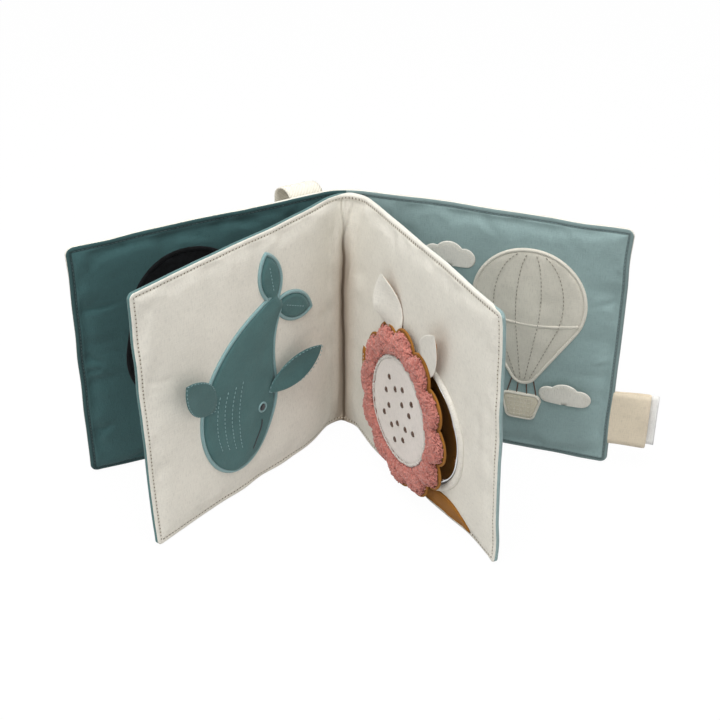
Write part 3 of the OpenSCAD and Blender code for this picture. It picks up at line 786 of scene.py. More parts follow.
stitching = makePiece("backCoverStitching", [hemStitches(backPanel, 1, 0), hemStitches(backPanel, -1, 1)],
                      ["blueThread", "creamThread"])
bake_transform(stitching)
print("book: padded panels sewn")

seamRoll = dict(radius=3., turns=24, rows=60, low=3, high=150, atX=-2.2, leanX=1.4, atY=-4.9, leanY=.35,
                deep=2.4, lessDeep=1.9, pinch=.06)


def seamTube():
    # the sewn roll behind the gutter: a tube that fills the room between the leaves' back and the spine,
    # narrower toward the top, pinched a little at each stitch, its ends drawn shut
    low, high = seamRoll["low"], seamRoll["high"]
    z = np.concatenate([[low], np.linspace(low, high, seamRoll["rows"]), [high]])[:, None]
    turn = np.arange(seamRoll["turns"]) * 2 * np.pi / seamRoll["turns"]
    shut = (1 - seamRoll["pinch"] * np.cos(z * 1.1)) * ease(np.minimum(z - low, high - z) / 2 + .5)
    shut[[0, -1]] = 0
    up = z / high
    deep = seamRoll["deep"] - seamRoll["lessDeep"] * up
    x = seamRoll["atX"] + seamRoll["leanX"] * up + shut * seamRoll["radius"] * np.cos(turn)
    y = seamRoll["atY"] + seamRoll["leanY"] * up + shut * deep * np.sin(turn)
    points = np.stack(np.broadcast_arrays(x, y, z), -1).reshape(-1, 3)
    flat = np.stack(gridOf(z[:, 0], turn * seamRoll["radius"]), -1).reshape(-1, 2)
    return points, gridFaces(len(z), len(turn), wrapCols=True), flat, 0


roll = makePiece("seamRoll", [seamTube()], ["creamPlain"])
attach(roll, "pages")
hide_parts("spine_seam")

# sewn cloth: how far its under face sinks into what it lies on, and the spacing of points along its edging
sewn = dict(sink=-.2, spacing=1.1)


def sewOn(name, body, cloth, trim, clothFinish, trimFinish, nodes, **cut):
    # a cut of cloth and, as a piece of its own, the thread that edges it
    piece = makePiece(name, cloth, clothFinish)
    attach(piece, body)
    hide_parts(*nodes)
    threadWork = []
    if trim:
        threadWork = [makePiece(name + "Thread", trim, trimFinish)]
        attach(threadWork[0], body)


def leafPlace(side, r, v, h):
    # a place on a leaf, r out from the seam line and h above the reader's cloth; side -1 left, 1 right
    u = side * (np.asarray(r, float) - leafOff[side])
    return onSheet(innerSheet, u, v, panelHeight(innerPanel, u, v, 1) + h)


def coverPlace(side, c, v, h):
    # a place on a cover, c out from its hinge line and h above the lining
    u = side * (np.asarray(c, float) + book["spineHalf"])
    panel = frontPanel if side < 0 else backPanel
    return onSheet(outerSheet, u, v, panelHeight(panel, u, v, 1) + h)


leftLeaf, rightLeaf = [partial(leafPlace, side) for side in (-1, 1)]
frontLining, backLining = [partial(coverPlace, side) for side in (-1, 1)]


def patchShell(place, a, v, high, low, material=0):
    # cloth over a grid of places: an upper face at height high and an under face at low, shut where equal
    flat = np.stack([a, v], -1).reshape(-1, 2)
    return [(place(a, v, h).reshape(-1, 3), gridFaces(*a.shape), flat, material) for h in (high, low)]


def sewnDown(place, a, v, high, edge):
    # cloth of height high, drawn down at its edge (edge is 0 there, 1 inside), its under face sunk a little
    return patchShell(place, a, v, high * edge, sewn["sink"] * edge)


def fanGrid(outline, centre, rings):
    # rings from the centre out to a closed outline, each a scaled copy of it; also the share of the way out
    f = np.linspace(0, 1, rings + 1) ** .8
    loop = np.concatenate([outline, outline[:1]])
    grid = centre + f[:, None, None] * (loop - centre)
    return grid[..., 0], grid[..., 1], np.broadcast_to(f[:, None], grid.shape[:2])


def evenly(path, spacing, closed=True):
    # the same path with points at an even spacing along it
    p = np.concatenate([path, path[:1]]) if closed else path
    gone = lengthAlong(p)
    count = max(8, int(gone[-1] / spacing))
    want = np.linspace(0, gone[-1], count + (0 if closed else 1), endpoint=not closed)
    return np.stack([np.interp(want, gone, p[:, k]) for k in (0, 1)], -1)


def bead(place, path, width, height, closed=True, base=0., sink=.35, material=0, around=12):
    # a rounded bead along a path on the cloth: an ellipse whose lower half is flattened, drawn to a point
    # at both ends of an open path
    wider = np.pad(path, ((1, 1), (0, 0)), mode="wrap" if closed else "edge")
    d = unitOf(wider[2:] - wider[:-2])
    normal = np.stack([-d[:, 1], d[:, 0]], -1)
    taper = np.ones((len(path), 1))
    if not closed:
        taper[[0, -1]] = 0
    turn = np.arange(around) * 2 * np.pi / around
    across = np.cos(turn) * width / 2 * taper
    up = np.sin(turn) * np.where(np.sin(turn) > 0, height, sink) * taper
    a, v = [path[:, k, None] + normal[:, k, None] * across for k in (0, 1)]
    flat = np.stack(np.broadcast_arrays(lengthAlong(path)[:, None], turn * width / 4), -1).reshape(-1, 2)
    quads = gridFaces(len(path), around, wrapRows=closed, wrapCols=True)
    return place(a, v, base + up).reshape(-1, 3), quads, flat, material


def runningStitch(place, path, pitch, base, share=.62, radius=.28, closed=False, material=0, parts=8):
    # threads laid end to end along a path, each covering part of its pitch
    even = evenly(path, pitch / parts, closed)
    start = np.arange(len(even) // parts) * parts
    end = np.minimum(start + int(round(parts * share)), len(even) - 1)
    a, b = [place(*even[k].T, base) for k in (start, end)]
    up = place(*((even[start] + even[end]) / 2).T, base + 1.5) - (a + b) / 2
    return threads(a, b, up, radius) + (material,)


def turned(points, angle):
    # plane points turned about the origin
    c, s = np.cos(np.radians(angle)), np.sin(np.radians(angle))
    return points @ np.array([[c, s], [-s, c]])


def lensHalf(x, length, width):
    # half width of a pointed oval along +x: two arcs of radius (l^2 + w^2) / 4w
    r = (length ** 2 + width ** 2) / (4 * width)
    return np.sqrt(np.maximum(r * r - (x - length / 2) ** 2, 0)) - (r - width / 2)


def lensOutline(length, width, count=60):
    # the pointed oval's edge, out along one arc and back along the other
    x = length / 2 * (1 - np.cos(np.linspace(0, np.pi, count)))
    y = lensHalf(x, length, width)
    return np.concatenate([np.stack([x, y], -1), np.stack([x, -y], -1)[-2:0:-1]])


def lensGrid(length, width, rows, cols):
    # grid over the pointed oval: shares s along and w across, x and y, and a thickness, 0 round the edge
    along, across = np.linspace(0, np.pi, rows), np.linspace(-1, 1, cols)
    s, w = gridOf((1 - np.cos(along)) / 2, np.sin(across * np.pi / 2))
    x = s * length
    full = dome(w, 4) * np.minimum(1, np.sin(np.pi * s) * 3)
    return s, w, x, w * lensHalf(x, length, width), full


def hullOutline(bigMid, big, smallMid, small, toward, counts, spacing):
    # two circles and their outer tangents, which leave both where cos = (R - r) / distance, counted from the
    # direction toward the small circle
    g = np.degrees(np.arccos((big - small) / np.linalg.norm(bigMid - smallMid)))
    return evenly(np.concatenate([arcPath(bigMid, big, toward + g, toward + 360 - g, counts[0]),
                                  arcPath(smallMid, small, toward - g, toward + g, counts[1])]), spacing)


whale = dict(nose=np.array([109., 22]), bend=np.array([127., 90]), tail=np.array([71., 132]), widest=.36,
             half=34, tailHalf=6, thick=1.2, puff=1.1, lumps=.35, lumpSize=9, lumpSeed=71,
             borderWide=2.6, borderHigh=1.5, flukeLong=38, flukeWide=19, flukeSpread=62, flukeThick=1.8,
             finLong=48, finWide=22, finPlace=.4, finInset=9, finTurn=52, finLift=14, finRest=1.9,
             finDish=1.6, eye=(.3, .58), iris=3.2, pupil=2.5, throats=4)


def whaleLine(s):
    # middle line: quadratic curve nose, bend, tail
    s = np.asarray(s, float)[..., None]
    return (1 - s) ** 2 * whale["nose"] + 2 * s * (1 - s) * whale["bend"] + s * s * whale["tail"]


def whaleAcross(s):
    # unit direction along the line, and the one to its left
    s = np.asarray(s, float)[..., None]
    d = unitOf(2 * (1 - s) * (whale["bend"] - whale["nose"]) + 2 * s * (whale["tail"] - whale["bend"]))
    return d, np.stack([-d[..., 1], d[..., 0]], -1)


def whaleHalf(s):
    # half width: a quarter ellipse from the nose to the widest place, then a cosine taper to the tail
    s = np.asarray(s, float)
    head = whale["half"] * dome(1 - np.minimum(s / whale["widest"], 1))
    t = np.clip((s - whale["widest"]) / (1 - whale["widest"]), 0, 1)
    taper = np.maximum(np.cos(np.pi / 2 * t), 0) ** 1.3
    body = whale["tailHalf"] + (whale["half"] - whale["tailHalf"]) * taper
    return np.where(s < whale["widest"], head, body)


def whalePoint(s, w):
    # w from -1 to 1 across the body at s
    return whaleLine(s) + (np.asarray(w, float) * whaleHalf(s))[..., None] * whaleAcross(s)[1]


def heading(s):
    # direction of the middle line in degrees
    d = whaleAcross(s)[0]
    return float(np.degrees(np.arctan2(d[1], d[0])))


def puffAt(w):
    # height of the puffed cloth: its thickness and half an ellipse across the body
    return whale["thick"] + whale["puff"] * dome(w)


def lumps(a, v):
    # small unevenness of the whale's cloth
    return whale["lumps"] * softNoise(a, v, whale["lumpSize"], whale["lumpSeed"])


def onWhale(a, v, h):
    # a place on the left leaf that follows the lumps of the whale's cloth
    return leftLeaf(a, v, h + lumps(a, v))


s, w = gridOf(np.linspace(0, 1, 70) ** 1.5, np.sin(np.linspace(-1, 1, 41) * np.pi / 2))
a, v = np.moveaxis(whalePoint(s, w), -1, 0)
rise = ease((1 - np.abs(w)) / .12) * ease(s / .03) * ease((1 - s) / .02)
cloth = sewnDown(leftLeaf, a, v, puffAt(w) + lumps(a, v), rise)
flank = np.linspace(0, 1, 110) ** 1.5
ring = np.concatenate([whalePoint(flank[::-1], np.full(110, -1.)), whalePoint(flank[1:], np.full(109, 1.))])
border = (whale["borderWide"], whale["borderHigh"])
trim = [bead(leftLeaf, evenly(ring, sewn["spacing"], False), *border, closed=False)]
tailRoot = whale["tail"] - whale["tailHalf"] * whaleAcross(1.)[0]
for k in (-1, 1):
    fluke = lensOutline(whale["flukeLong"], whale["flukeWide"])
    fluke = turned(fluke, heading(1.) + k * whale["flukeSpread"]) + tailRoot
    a, v, f = fanGrid(fluke, fluke.mean(0), 9)
    cloth += sewnDown(leftLeaf, a, v, whale["flukeThick"], ease((1 - f) / .3))
    trim.append(bead(leftLeaf, evenly(fluke, sewn["spacing"]), *border))
    root, tip = fluke[0], fluke[60]
    rib = np.linspace(root * .72 + tip * .28, root * .2 + tip * .8, 24)
    trim.append(runningStitch(leftLeaf, rib, 2.6, base=whale["thick"] + .55))
# eye, smile and throat folds, all embroidered on the puffed cloth
eyeAt = whalePoint(*whale["eye"])
high = puffAt(whale["eye"][1])
round28 = rays(np.linspace(0, 2 * np.pi, 28, endpoint=False))
trim.append(bead(onWhale, eyeAt + whale["iris"] * round28, 1.3, .7, base=high))
a, v, f = fanGrid(eyeAt + whale["pupil"] * round28, eyeAt, 4)
trim += patchShell(onWhale, a, v, high + .9 * dome(f), high - .6 * (1 - f), material=1)
t = np.linspace(0, 1, 46)
smile = whalePoint(.06 + .15 * t, .34 + .26 * t + .1 * np.sin(np.pi * t))
trim.append(bead(onWhale, smile, 1., .5, False, base=puffAt(.45), material=1))
for k in range(whale["throats"]):
    across = .08 + .19 * k
    fold = whalePoint(.12 + .02 * k + (.42 - .04 * k) * t, np.full(len(t), -across))
    trim.append(runningStitch(onWhale, fold, 3., base=puffAt(across) + .08))
sewOn("whaleCloth", "pages", cloth, trim, ["tealMotif"], ["paleSatin", "blackThread"],
      ["whale_body", "whale_border"], flat=(.085, .165), area=.0078, held="laid", rests_on=["leaves"])


def looseFin(sign):
    # a pointed flap of doubled cloth: lens grid lifted along its length, tip curling up, edges rolled, with
    # a ring of threads just inside its edge
    at, lean = whale["finPlace"], np.radians(whale["finLift"])
    root = whaleLine(at) + sign * (whaleHalf(at) - whale["finInset"]) * whaleAcross(at)[1]
    angle = heading(at) + sign * whale["finTurn"]
    s, w, x, y, full = lensGrid(whale["finLong"], whale["finWide"], 46, 23)
    plane = np.stack([x, y], -1)
    a, v = (turned((plane * [np.cos(lean), 1]).reshape(-1, 2), angle) + root).T.reshape(2, *s.shape)
    dish = whale["finDish"] * w ** 2 * np.sin(np.pi * s)
    lifted = whale["finRest"] + x * np.tan(lean) * (.7 + .15 * s) + dish
    shell = patchShell(leftLeaf, a, v, lifted + full, lifted - full * .6)
    ring, ringLift = [np.concatenate([g[1:-1, 2], g[-2:0:-1, -3]]) for g in (plane, lifted)]
    even = evenly(ring, .5)
    height = np.interp(np.linspace(0, 1, len(even)), np.linspace(0, 1, len(ring)), ringLift)
    even = turned(even * [np.cos(lean), 1], angle) + root
    starts = np.arange(0, len(even) - 4, 6)
    p, q = [leftLeaf(*even[k].T, height[k] + .75) for k in (starts, starts + 3)]
    up = leftLeaf(*even[starts].T, height[starts] + 3) - p
    return shell, [threads(p, q, up, .26) + (0,)]


for sign, name, cadNode in ((1, "whaleUpperFin", "whale_upper_fin"),
                            (-1, "whaleLowerFin", "whale_lower_fin")):
    sewOn(name, "pages", *looseFin(sign), ["tealMotif"], ["paleSatin"], [cadNode],
          flat=(.048, .022), area=.00072, held="stretched", rests_on=["whaleCloth"])
print("book: whale sewn on")

flap = dict(hinge=30., lift=4, mid=np.array([58., 60]), petalRing=44, petal=14, petals=12, middle=38, pile=5,
            thick=1.4, margin=2, sag=.8, wave=.5)


def onFlap(x, y, z):
    # flap frame: x out from the sewn side, y up, z off the page; the flap leans off it and sags a little
    c, s = np.cos(np.radians(flap["lift"])), np.sin(np.radians(flap["lift"]))
    x, y, z = together(x, y, z)
    bowed = z - flap["sag"] * np.sin(np.pi * np.clip(x / 120, 0, 1)) + flap["wave"] * softNoise(x, y, 34, 15)
    u = flap["hinge"] + x * c - bowed * s - leafOff[1]
    return onSheet(innerSheet, u, y, book["padHalf"] + x * s + bowed * c)


def petalReach(phi, grow=0.):
    # distance from the flower's middle to its edge: the farthest petal circle along that direction
    spread = np.asarray(phi)[..., None] - np.pi - np.arange(flap["petals"]) * 2 * np.pi / flap["petals"]
    d = (spread + np.pi) % (2 * np.pi) - np.pi
    hit = (flap["petal"] + grow) ** 2 - (flap["petalRing"] * np.sin(d)) ** 2
    reach = flap["petalRing"] * np.cos(d) + np.sqrt(np.maximum(hit, 0))
    return np.where((hit > 0) & (np.abs(d) < 1), reach, flap["petalRing"] + grow).max(-1)


phi = np.linspace(0, 2 * np.pi, 217)[:-1]
circle = rays(phi)
rim = flap["mid"] + petalReach(phi)[:, None] * circle
a, v, f = fanGrid(rim, flap["mid"], 14)
half = flap["thick"] / 2
edge = half * ease((1 - f) / .05)
sewOn("flapBacking", "pages", patchShell(onFlap, a, v, half + edge, half - edge),
      [bead(onFlap, evenly(rim, sewn["spacing"]), 2., .75, base=half, sink=.75)],
      ["mustard"], ["mustard"], ["flap_backing"],
      flat=(.116, .116), area=.0095, held="stretched", rests_on=["leaves"])

# curls: spans of their half length, waves, start, swing and arch, and how far they reach over the middle
curls = dict(count=2700, seed=3, size=(1.5, 3.2), waves=(2.2, 3.8), start=(0, 6), swing=(.6, 1.2),
             arch=(.3, 1.2), over=(-1.9, .8), fat=.68 * np.array([0, .75, 1, 1.05, 1, .75, 0]), sides=5)


def fleeceBed(q, phi):
    # the pile's body from the middle to the petals' edge: q runs 0 to 1 outward, the height is a flat hump
    low, high = flap["middle"] - 1, petalReach(phi, -flap["margin"])
    r = low + (high - low) * q
    hump = (flap["pile"] - 1.05) * (1 - np.abs(2 * q - 1) ** 3.5)
    return flap["mid"][0] + r * np.cos(phi), flap["mid"][1] + r * np.sin(phi), flap["thick"] + hump + .1


q, p = gridOf(np.linspace(0, 1, 15), np.linspace(0, 2 * np.pi, 217))
x, y, z = fleeceBed(q, p)
z = z + .7 * softNoise(x, y, 3.4, 81) * np.sin(np.pi * q)
parts = patchShell(onFlap, x, y, z, np.full_like(z, flap["thick"] + .1))
rng = np.random.default_rng(curls["seed"])


def fleeceCurls():
    # short wavy lengths of yarn lying on the bed, in rough rows as crimped fleece has: a sine across a
    # straight run, arched, kept inside the petals and carried by a ring of a few sides
    count = curls["count"]
    q = np.sqrt(rng.uniform(.01, .99, count))
    x, y, z = fleeceBed(q, rng.uniform(0, 2 * np.pi, count))
    way = rng.normal(.35, .6, count)[:, None]
    size = rng.uniform(*curls["size"], count)[:, None]
    run = np.linspace(-1, 1, len(curls["fat"]))
    waves, start, swing, arch = [rng.uniform(*curls[key], (count, 1))
                                 for key in ("waves", "start", "swing", "arch")]
    wavy = np.sin(run * waves + start) * swing
    core = np.stack([x[:, None] + size * run * np.cos(way) - wavy * np.sin(way),
                     y[:, None] + size * run * np.sin(way) + wavy * np.cos(way),
                     z[:, None] + arch * (1 - run ** 2) - .6], -1)
    away = core[..., :2] - flap["mid"]
    reach = np.linalg.norm(away, axis=-1)
    least = flap["middle"] + rng.uniform(*curls["over"], (count, 1))
    limit = np.clip(reach, least, petalReach(np.arctan2(away[..., 1], away[..., 0]), -.6))
    core[..., :2] = flap["mid"] + away * (limit / reach)[..., None]
    tangent = unitOf(np.gradient(core, axis=1))
    sideways = unitOf(np.cross(tangent, np.array([0, 0, 1.])))[:, :, None]
    upward = np.cross(sideways, tangent[:, :, None])
    sides = curls["sides"]
    turn = (np.arange(sides) * 2 * np.pi / sides + .4)[:, None]
    ring = sideways * np.cos(turn) + upward * np.sin(turn)
    tube = core[:, :, None] + curls["fat"][:, None, None] * ring
    quads = manyFaces(gridFaces(len(run), sides, wrapCols=True), count, len(run) * sides)
    return onFlap(*np.moveaxis(tube, -1, 0)).reshape(-1, 3), quads, tube[..., :2].reshape(-1, 2), 0


fleece = makePiece("flapPile", parts + [fleeceCurls()], ["fleece"])
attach(fleece, "pages")
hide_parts("flap_pile")

# smooth middle: a low dome with a ragged satin edge and a spiral of knots
centre = dict(foot=flap["thick"] + .1, high=flap["pile"] - 2.4, dome=.7, edgeThreads=329, inner=(-3., -1.9),
              outer=(-.9, .3), knots=range(2, 17), knotTurn=2.4, knotStep=6.2)
ragged = flap["middle"] + .7 * softNoise(phi * 40, phi * 0, 1.7, 12) + .5 * np.cos(phi * 30)
a, v, f = fanGrid(flap["mid"] + ragged[:, None] * circle, flap["mid"], 14)
top = centre["foot"] + centre["high"] * dome(f, 30) + centre["dome"] * (1 - f ** 2)
parts = patchShell(onFlap, a, v, top, np.full_like(top, centre["foot"]))
outward = rays(np.linspace(0, 2 * np.pi, centre["edgeThreads"] + 1)[:-1])
starts, ends = [(flap["mid"] + (flap["middle"] + rng.uniform(*span, len(outward)))[:, None] * outward).T
                for span in (centre["inner"], centre["outer"])]
high = centre["foot"] + centre["high"] - .05
p, q = onFlap(*starts, high + .35), onFlap(*ends, high - .2)
parts.append(threads(p, q, onFlap(*starts, high + 3) - p, .36) + (1,))
t = np.linspace(0, 4 * np.pi, 40)
spiral = (.4 + 1.4 * t / t[-1])[:, None] * rays(t)
for k in centre["knots"]:
    radius = centre["knotStep"] * np.sqrt(k)
    coil = flap["mid"] + radius * rays(centre["knotTurn"] * k) + spiral
    high = centre["foot"] + centre["high"] + centre["dome"] * (1 - (radius / flap["middle"]) ** 2)
    parts.append(bead(onFlap, coil, 1.05, .65, False, base=high, material=2, around=8))
flapMiddle = makePiece("flapMiddle", parts, ["whiteCloth", "whiteSatin", "brownThread"])
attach(flapMiddle, "pages")
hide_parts("flap_middle")

# leaf tabs: angle round the flower, bend and tilt off the page
leafTabs = dict(long=50, wide=21, root=42, thick=.85, dish=1.8,
                spots=((108, 7., 5.5, "flapUpperLeaf", "flap_upper_leaf"),
                       (60, 3.5, 1.5, "flapSideLeaf", "flap_side_leaf")))


def leafTab(angle, bend, tilt):
    # a pointed tab from behind the petals: lens grid, cream in front and mustard behind, bent and tilted
    s, w, x, y, full = lensGrid(leafTabs["long"], leafTabs["wide"], 44, 21)
    plane = turned(np.stack([x + leafTabs["root"], y], -1).reshape(-1, 2), angle) + flap["mid"]
    a, v = plane.T.reshape(2, *s.shape)
    free = ease((s - .12) / .5)
    curved = np.sin(np.pi * s) * (tilt * w + leafTabs["dish"] * (w ** 2 - .5))
    mid = -.7 + free * (bend * s + curved)
    full = leafTabs["thick"] * full
    return [patchShell(onFlap, a, v, mid + full, mid)[0], patchShell(onFlap, a, v, mid, mid - full, 1)[1]]


for angle, bend, tilt, name, cadNode in leafTabs["spots"]:
    sewOn(name, "pages", leafTab(angle, bend, tilt), [], ["creamPlain", "mustard"], [], [cadNode],
          flat=(.05, .021), area=.00071, held="stretched", rests_on=["flapBacking"])

# sewn tab that holds the flap, with two rows of stitches
tab = dict(start=flap["hinge"] - 5.3, wide=5.8, low=flap["mid"][1] - 15, high=30, thick=1.3,
           rows=(1.4, 3.6), margin=1.5)
s, w = gridOf(np.linspace(0, 1, 9), np.linspace(0, 1, 31))
edge = ease(np.minimum(np.minimum(s, 1 - s) * 4, np.minimum(w, 1 - w) * 12))
rowV = np.linspace(tab["low"] + tab["margin"], tab["low"] + tab["high"] - tab["margin"], 40)
trim = [runningStitch(rightLeaf, np.stack([np.full(40, tab["start"] + k), rowV], -1), 2.8, base=1.25)
        for k in tab["rows"]]
cloth = sewnDown(rightLeaf, tab["start"] + tab["wide"] * s, tab["low"] + tab["high"] * w, tab["thick"], edge)
sewOn("flapTab", "pages", cloth, trim, ["mustard"], ["creamThread"], ["flap_tab"],
      flat=(.03, .01), area=.00018, held="laid", rests_on=["leaves"])

# mirror film in its rolled rim
mirror = dict(at=np.array([107., 60]), radius=42, rimWide=4.5, rimHigh=1.8, middle=.9, above=.3, under=.8,
              stitch=3.9)
a, v, f = fanGrid(mirror["at"] + mirror["radius"] * circle, mirror["at"], 16)
edge = ease((1 - f) / .1)
film = patchShell(rightLeaf, a, v, mirror["middle"] + mirror["above"] * edge,
                  mirror["middle"] - mirror["under"] * edge)
sewOn("mirrorSheet", "pages", film, [], ["mirror"], [], ["mirror_film"],
      flat=(.084, .084), area=.00554, held="laid", rests_on=["leaves"])
rimPath = evenly(mirror["at"] + (mirror["radius"] + mirror["rimWide"] / 2) * circle, 1.)
rolled = bead(rightLeaf, rimPath, mirror["rimWide"] + .6, mirror["rimHigh"] + .5, around=18)
stitchPath = mirror["at"] + (mirror["radius"] + mirror["stitch"]) * circle
sewOn("mirrorRim", "pages", [rolled], [runningStitch(rightLeaf, stitchPath, 3.4, base=1.35, closed=True)],
      ["creamPlain"], ["creamThread"], ["mirror_rim"],
      flat=(.278, .01), area=.0016, held="stretched", rests_on=["leaves"])

# strip of ground beside it: a low mound under one arc
ground = dict(u=107., v=4.4, wide=52, high=13, thick=1.1, edgeWide=1.6, edgeHigh=1.2)
s, w = gridOf(np.linspace(0, 1, 50), np.linspace(0, 1, 16))
r = ((ground["wide"] / 2) ** 2 + ground["high"] ** 2) / (2 * ground["high"])
a = ground["u"] + ground["wide"] * s
top = np.sqrt(np.maximum(r ** 2 - (a - ground["u"] - ground["wide"] / 2) ** 2, 0)) - r + ground["high"]
v = ground["v"] + w * np.maximum(top, 0)
edge = ease(np.minimum(np.minimum(s, 1 - s) * 30, np.minimum(w, 1 - w) * 12))
mound = np.concatenate([np.stack([a[:, 0], v[:, 0]], -1), np.stack([a[::-1, 0], v[::-1, -1]], -1)])
sewOn("groundPatch", "pages", sewnDown(rightLeaf, a, v, ground["thick"], edge),
      [bead(rightLeaf, evenly(mound[:-1], sewn["spacing"]), ground["edgeWide"], ground["edgeHigh"])],
      ["mustard"], ["mustard"], ["ground_patch"],
      flat=(.052, .013), area=.00047, held="laid", rests_on=["leaves"])
print("book: flower flap and mirror sewn on")

balloon = dict(mid=np.array([120.5, 119.]), radius=38, neck=9, drop=54, thick=1., puff=.5, lumps=.3,
               borderWide=2.6, borderHigh=1.3, gores=(-.62, -.22, .22, .62), bandDrop=12, bandSag=5,
               ropes=(-1, -.35, .35, 1), ropeTop=7.5, ropeFoot=10.5)
basket = dict(mid=np.array([120.5, 37.]), wide=26, high=19, taper=3, corner=4, thick=1.5)
neckMid = balloon["mid"] - [0, balloon["drop"]]
outline = hullOutline(balloon["mid"], balloon["radius"], neckMid, balloon["neck"], -90, (90, 24), 1.2)
a, v, f = fanGrid(outline, balloon["mid"] - [0, 10], 20)
swell = balloon["thick"] + balloon["puff"] * dome(f) + balloon["lumps"] * softNoise(a, v, 10, 91)
cloth = sewnDown(backLining, a, v, swell, ease((1 - f) / .06))
trim = [bead(backLining, outline, balloon["borderWide"], balloon["borderHigh"])]
rightSide = outline[outline[:, 0] > balloon["mid"][0]]
rightSide = rightSide[np.argsort(rightSide[:, 1])]


def balloonHalf(v):
    # half width at height v, read from the right side of the outline
    return np.interp(v, rightSide[:, 1], rightSide[:, 0] - balloon["mid"][0])


# gore seams from the crown to the neck, bowed by the half width there; a sagging band; ropes to the basket
crown, foot = balloon["mid"][1] + balloon["radius"], neckMid[1] - balloon["neck"]
height = crown + (foot - crown) * np.linspace(.03, .97, 60)
for k in balloon["gores"]:
    gore = np.stack([balloon["mid"][0] + k * balloonHalf(height), height], -1)
    trim.append(runningStitch(backLining, gore, 3., base=balloon["thick"] + .62, material=1, radius=.3))
t = np.linspace(-1, 1, 50)
bandV = balloon["mid"][1] - balloon["bandDrop"] - balloon["bandSag"] * (1 - t ** 2)
band = np.stack([balloon["mid"][0] + t * (balloonHalf(bandV[0]) - .8), bandV], -1)
trim.append(bead(backLining, evenly(band, 1, False), 2.2, .7, False, base=1.2))
for k in balloon["ropes"]:
    rope = np.linspace(neckMid + [k * balloon["ropeTop"], -6.5],
                       basket["mid"] + [k * balloon["ropeFoot"], basket["high"] / 2 - 1], 16)
    trim.append(bead(backLining, rope, .9, .7, False, material=2))
sewOn("balloonCloth", "back_cover", cloth, trim, ["greyCream"], ["creamSatin", "greyThread", "brownThread"],
      ["balloon", "balloon_border"],
      flat=(.076, .101), area=.0062, held="laid", rests_on=["backCover"])


def basketOutline():
    # rounded corners of a box that narrows to its foot
    r = basket["corner"]
    arcs = []
    for sx, sy, start in ((1, 1, 0), (-1, 1, 90), (-1, -1, 180), (1, -1, 270)):
        half = basket["wide"] / 2 - r - (basket["taper"] if sy < 0 else 0)
        corner = basket["mid"] + [sx * half, sy * (basket["high"] / 2 - r)]
        arcs.append(arcPath(corner, r, start, start + 90, 9))
    return evenly(np.concatenate(arcs), .9)


outline = basketOutline()
a, v, f = fanGrid(outline, basket["mid"], 12)
cloth = sewnDown(backLining, a, v, basket["thick"], ease((1 - f) / .12))
trim = [bead(backLining, outline, 2.2, 1.7)]
for k in range(-2, 3):
    across = np.stack([np.linspace(-9.5, 9.5, 30), np.full(30, k * 3.2)], -1)
    upright = np.stack([np.full(30, k * 3.9), np.linspace(-7.5, 7.5, 30)], -1)
    for line, base in ((across, basket["thick"]), (upright, basket["thick"] + .05)):
        line = line + basket["mid"]
        trim.append(runningStitch(backLining, line, 2.4, base, share=.6, radius=.3, material=1))
sewOn("basketPatch", "back_cover", cloth, trim, ["basketCloth"], ["creamSatin", "creamThread"], ["basket"],
      flat=(.026, .019), area=.00045, held="laid", rests_on=["backCover"])

# clouds: foot's middle, tilt off the lining, height at the foot and share of the full thickness
cloud = dict(radius=11, ratio=.65, stitchIn=.84,
             spots=((64.5, 136., .8, .3, .42, "upperCloud", "upper_cloud"),
                    (150.5, 44., 9, .7, 1., "lowerCloud", "lower_cloud")))


def cloudReach(t):
    # distance from the foot's middle to the cloud's edge: the farthest of three puffs in that direction
    big = cloud["radius"]
    side = big * cloud["ratio"]
    reach = np.zeros(len(t))
    for cx, cy, r in ((side, 0, big), (side, big, side), (side, -big, side)):
        b = rays(t) @ np.array([cx, cy])
        hit = b * b - (cx * cx + cy * cy - r * r)
        reach = np.maximum(reach, np.where(hit > 0, b + np.sqrt(np.maximum(hit, 0)), 0))
    return reach


def cloudLift(up, tilt, rest):
    # height off the lining: a tilt that steepens a little with the way up
    return rest + up * np.tan(np.radians(tilt)) * (.8 + .3 * up / 18)


for cu, cv, tilt, rest, full, name, cadNode in cloud["spots"]:
    t = np.linspace(-np.pi / 2, np.pi / 2, 90)
    arc = cloudReach(t)[:, None] * rays(t)
    f = np.linspace(0, 1, 14)[:, None] ** .7
    up, across = f * arc[:, 0], f * arc[:, 1]
    lifted = cloudLift(up, tilt, rest)
    thick = (.7 * dome(f, 6) + .3 * (1 - f ** 2)) * np.where(f > 0, 1, 0)
    thick = full * thick * ease((np.pi / 2 - np.abs(t)) / .05)
    cloth = patchShell(backLining, cu + across, cv + up, lifted + thick, lifted - thick * .7)

    def onCloud(a, v, h):
        # a place on the cloud's upper face
        return backLining(a, v, cloudLift(v - cv, tilt, rest) + .75 * full - .1 + h)

    row = [cu, cv] + cloud["stitchIn"] * arc[4:-4, ::-1]
    sewOn(name, "back_cover", cloth, [runningStitch(onCloud, row, 2.6, base=0, radius=.24)],
          ["creamPlain"], ["creamThread"], [cadNode],
          flat=(.037, .018), area=.00052, held="stretched", rests_on=["backCover"])

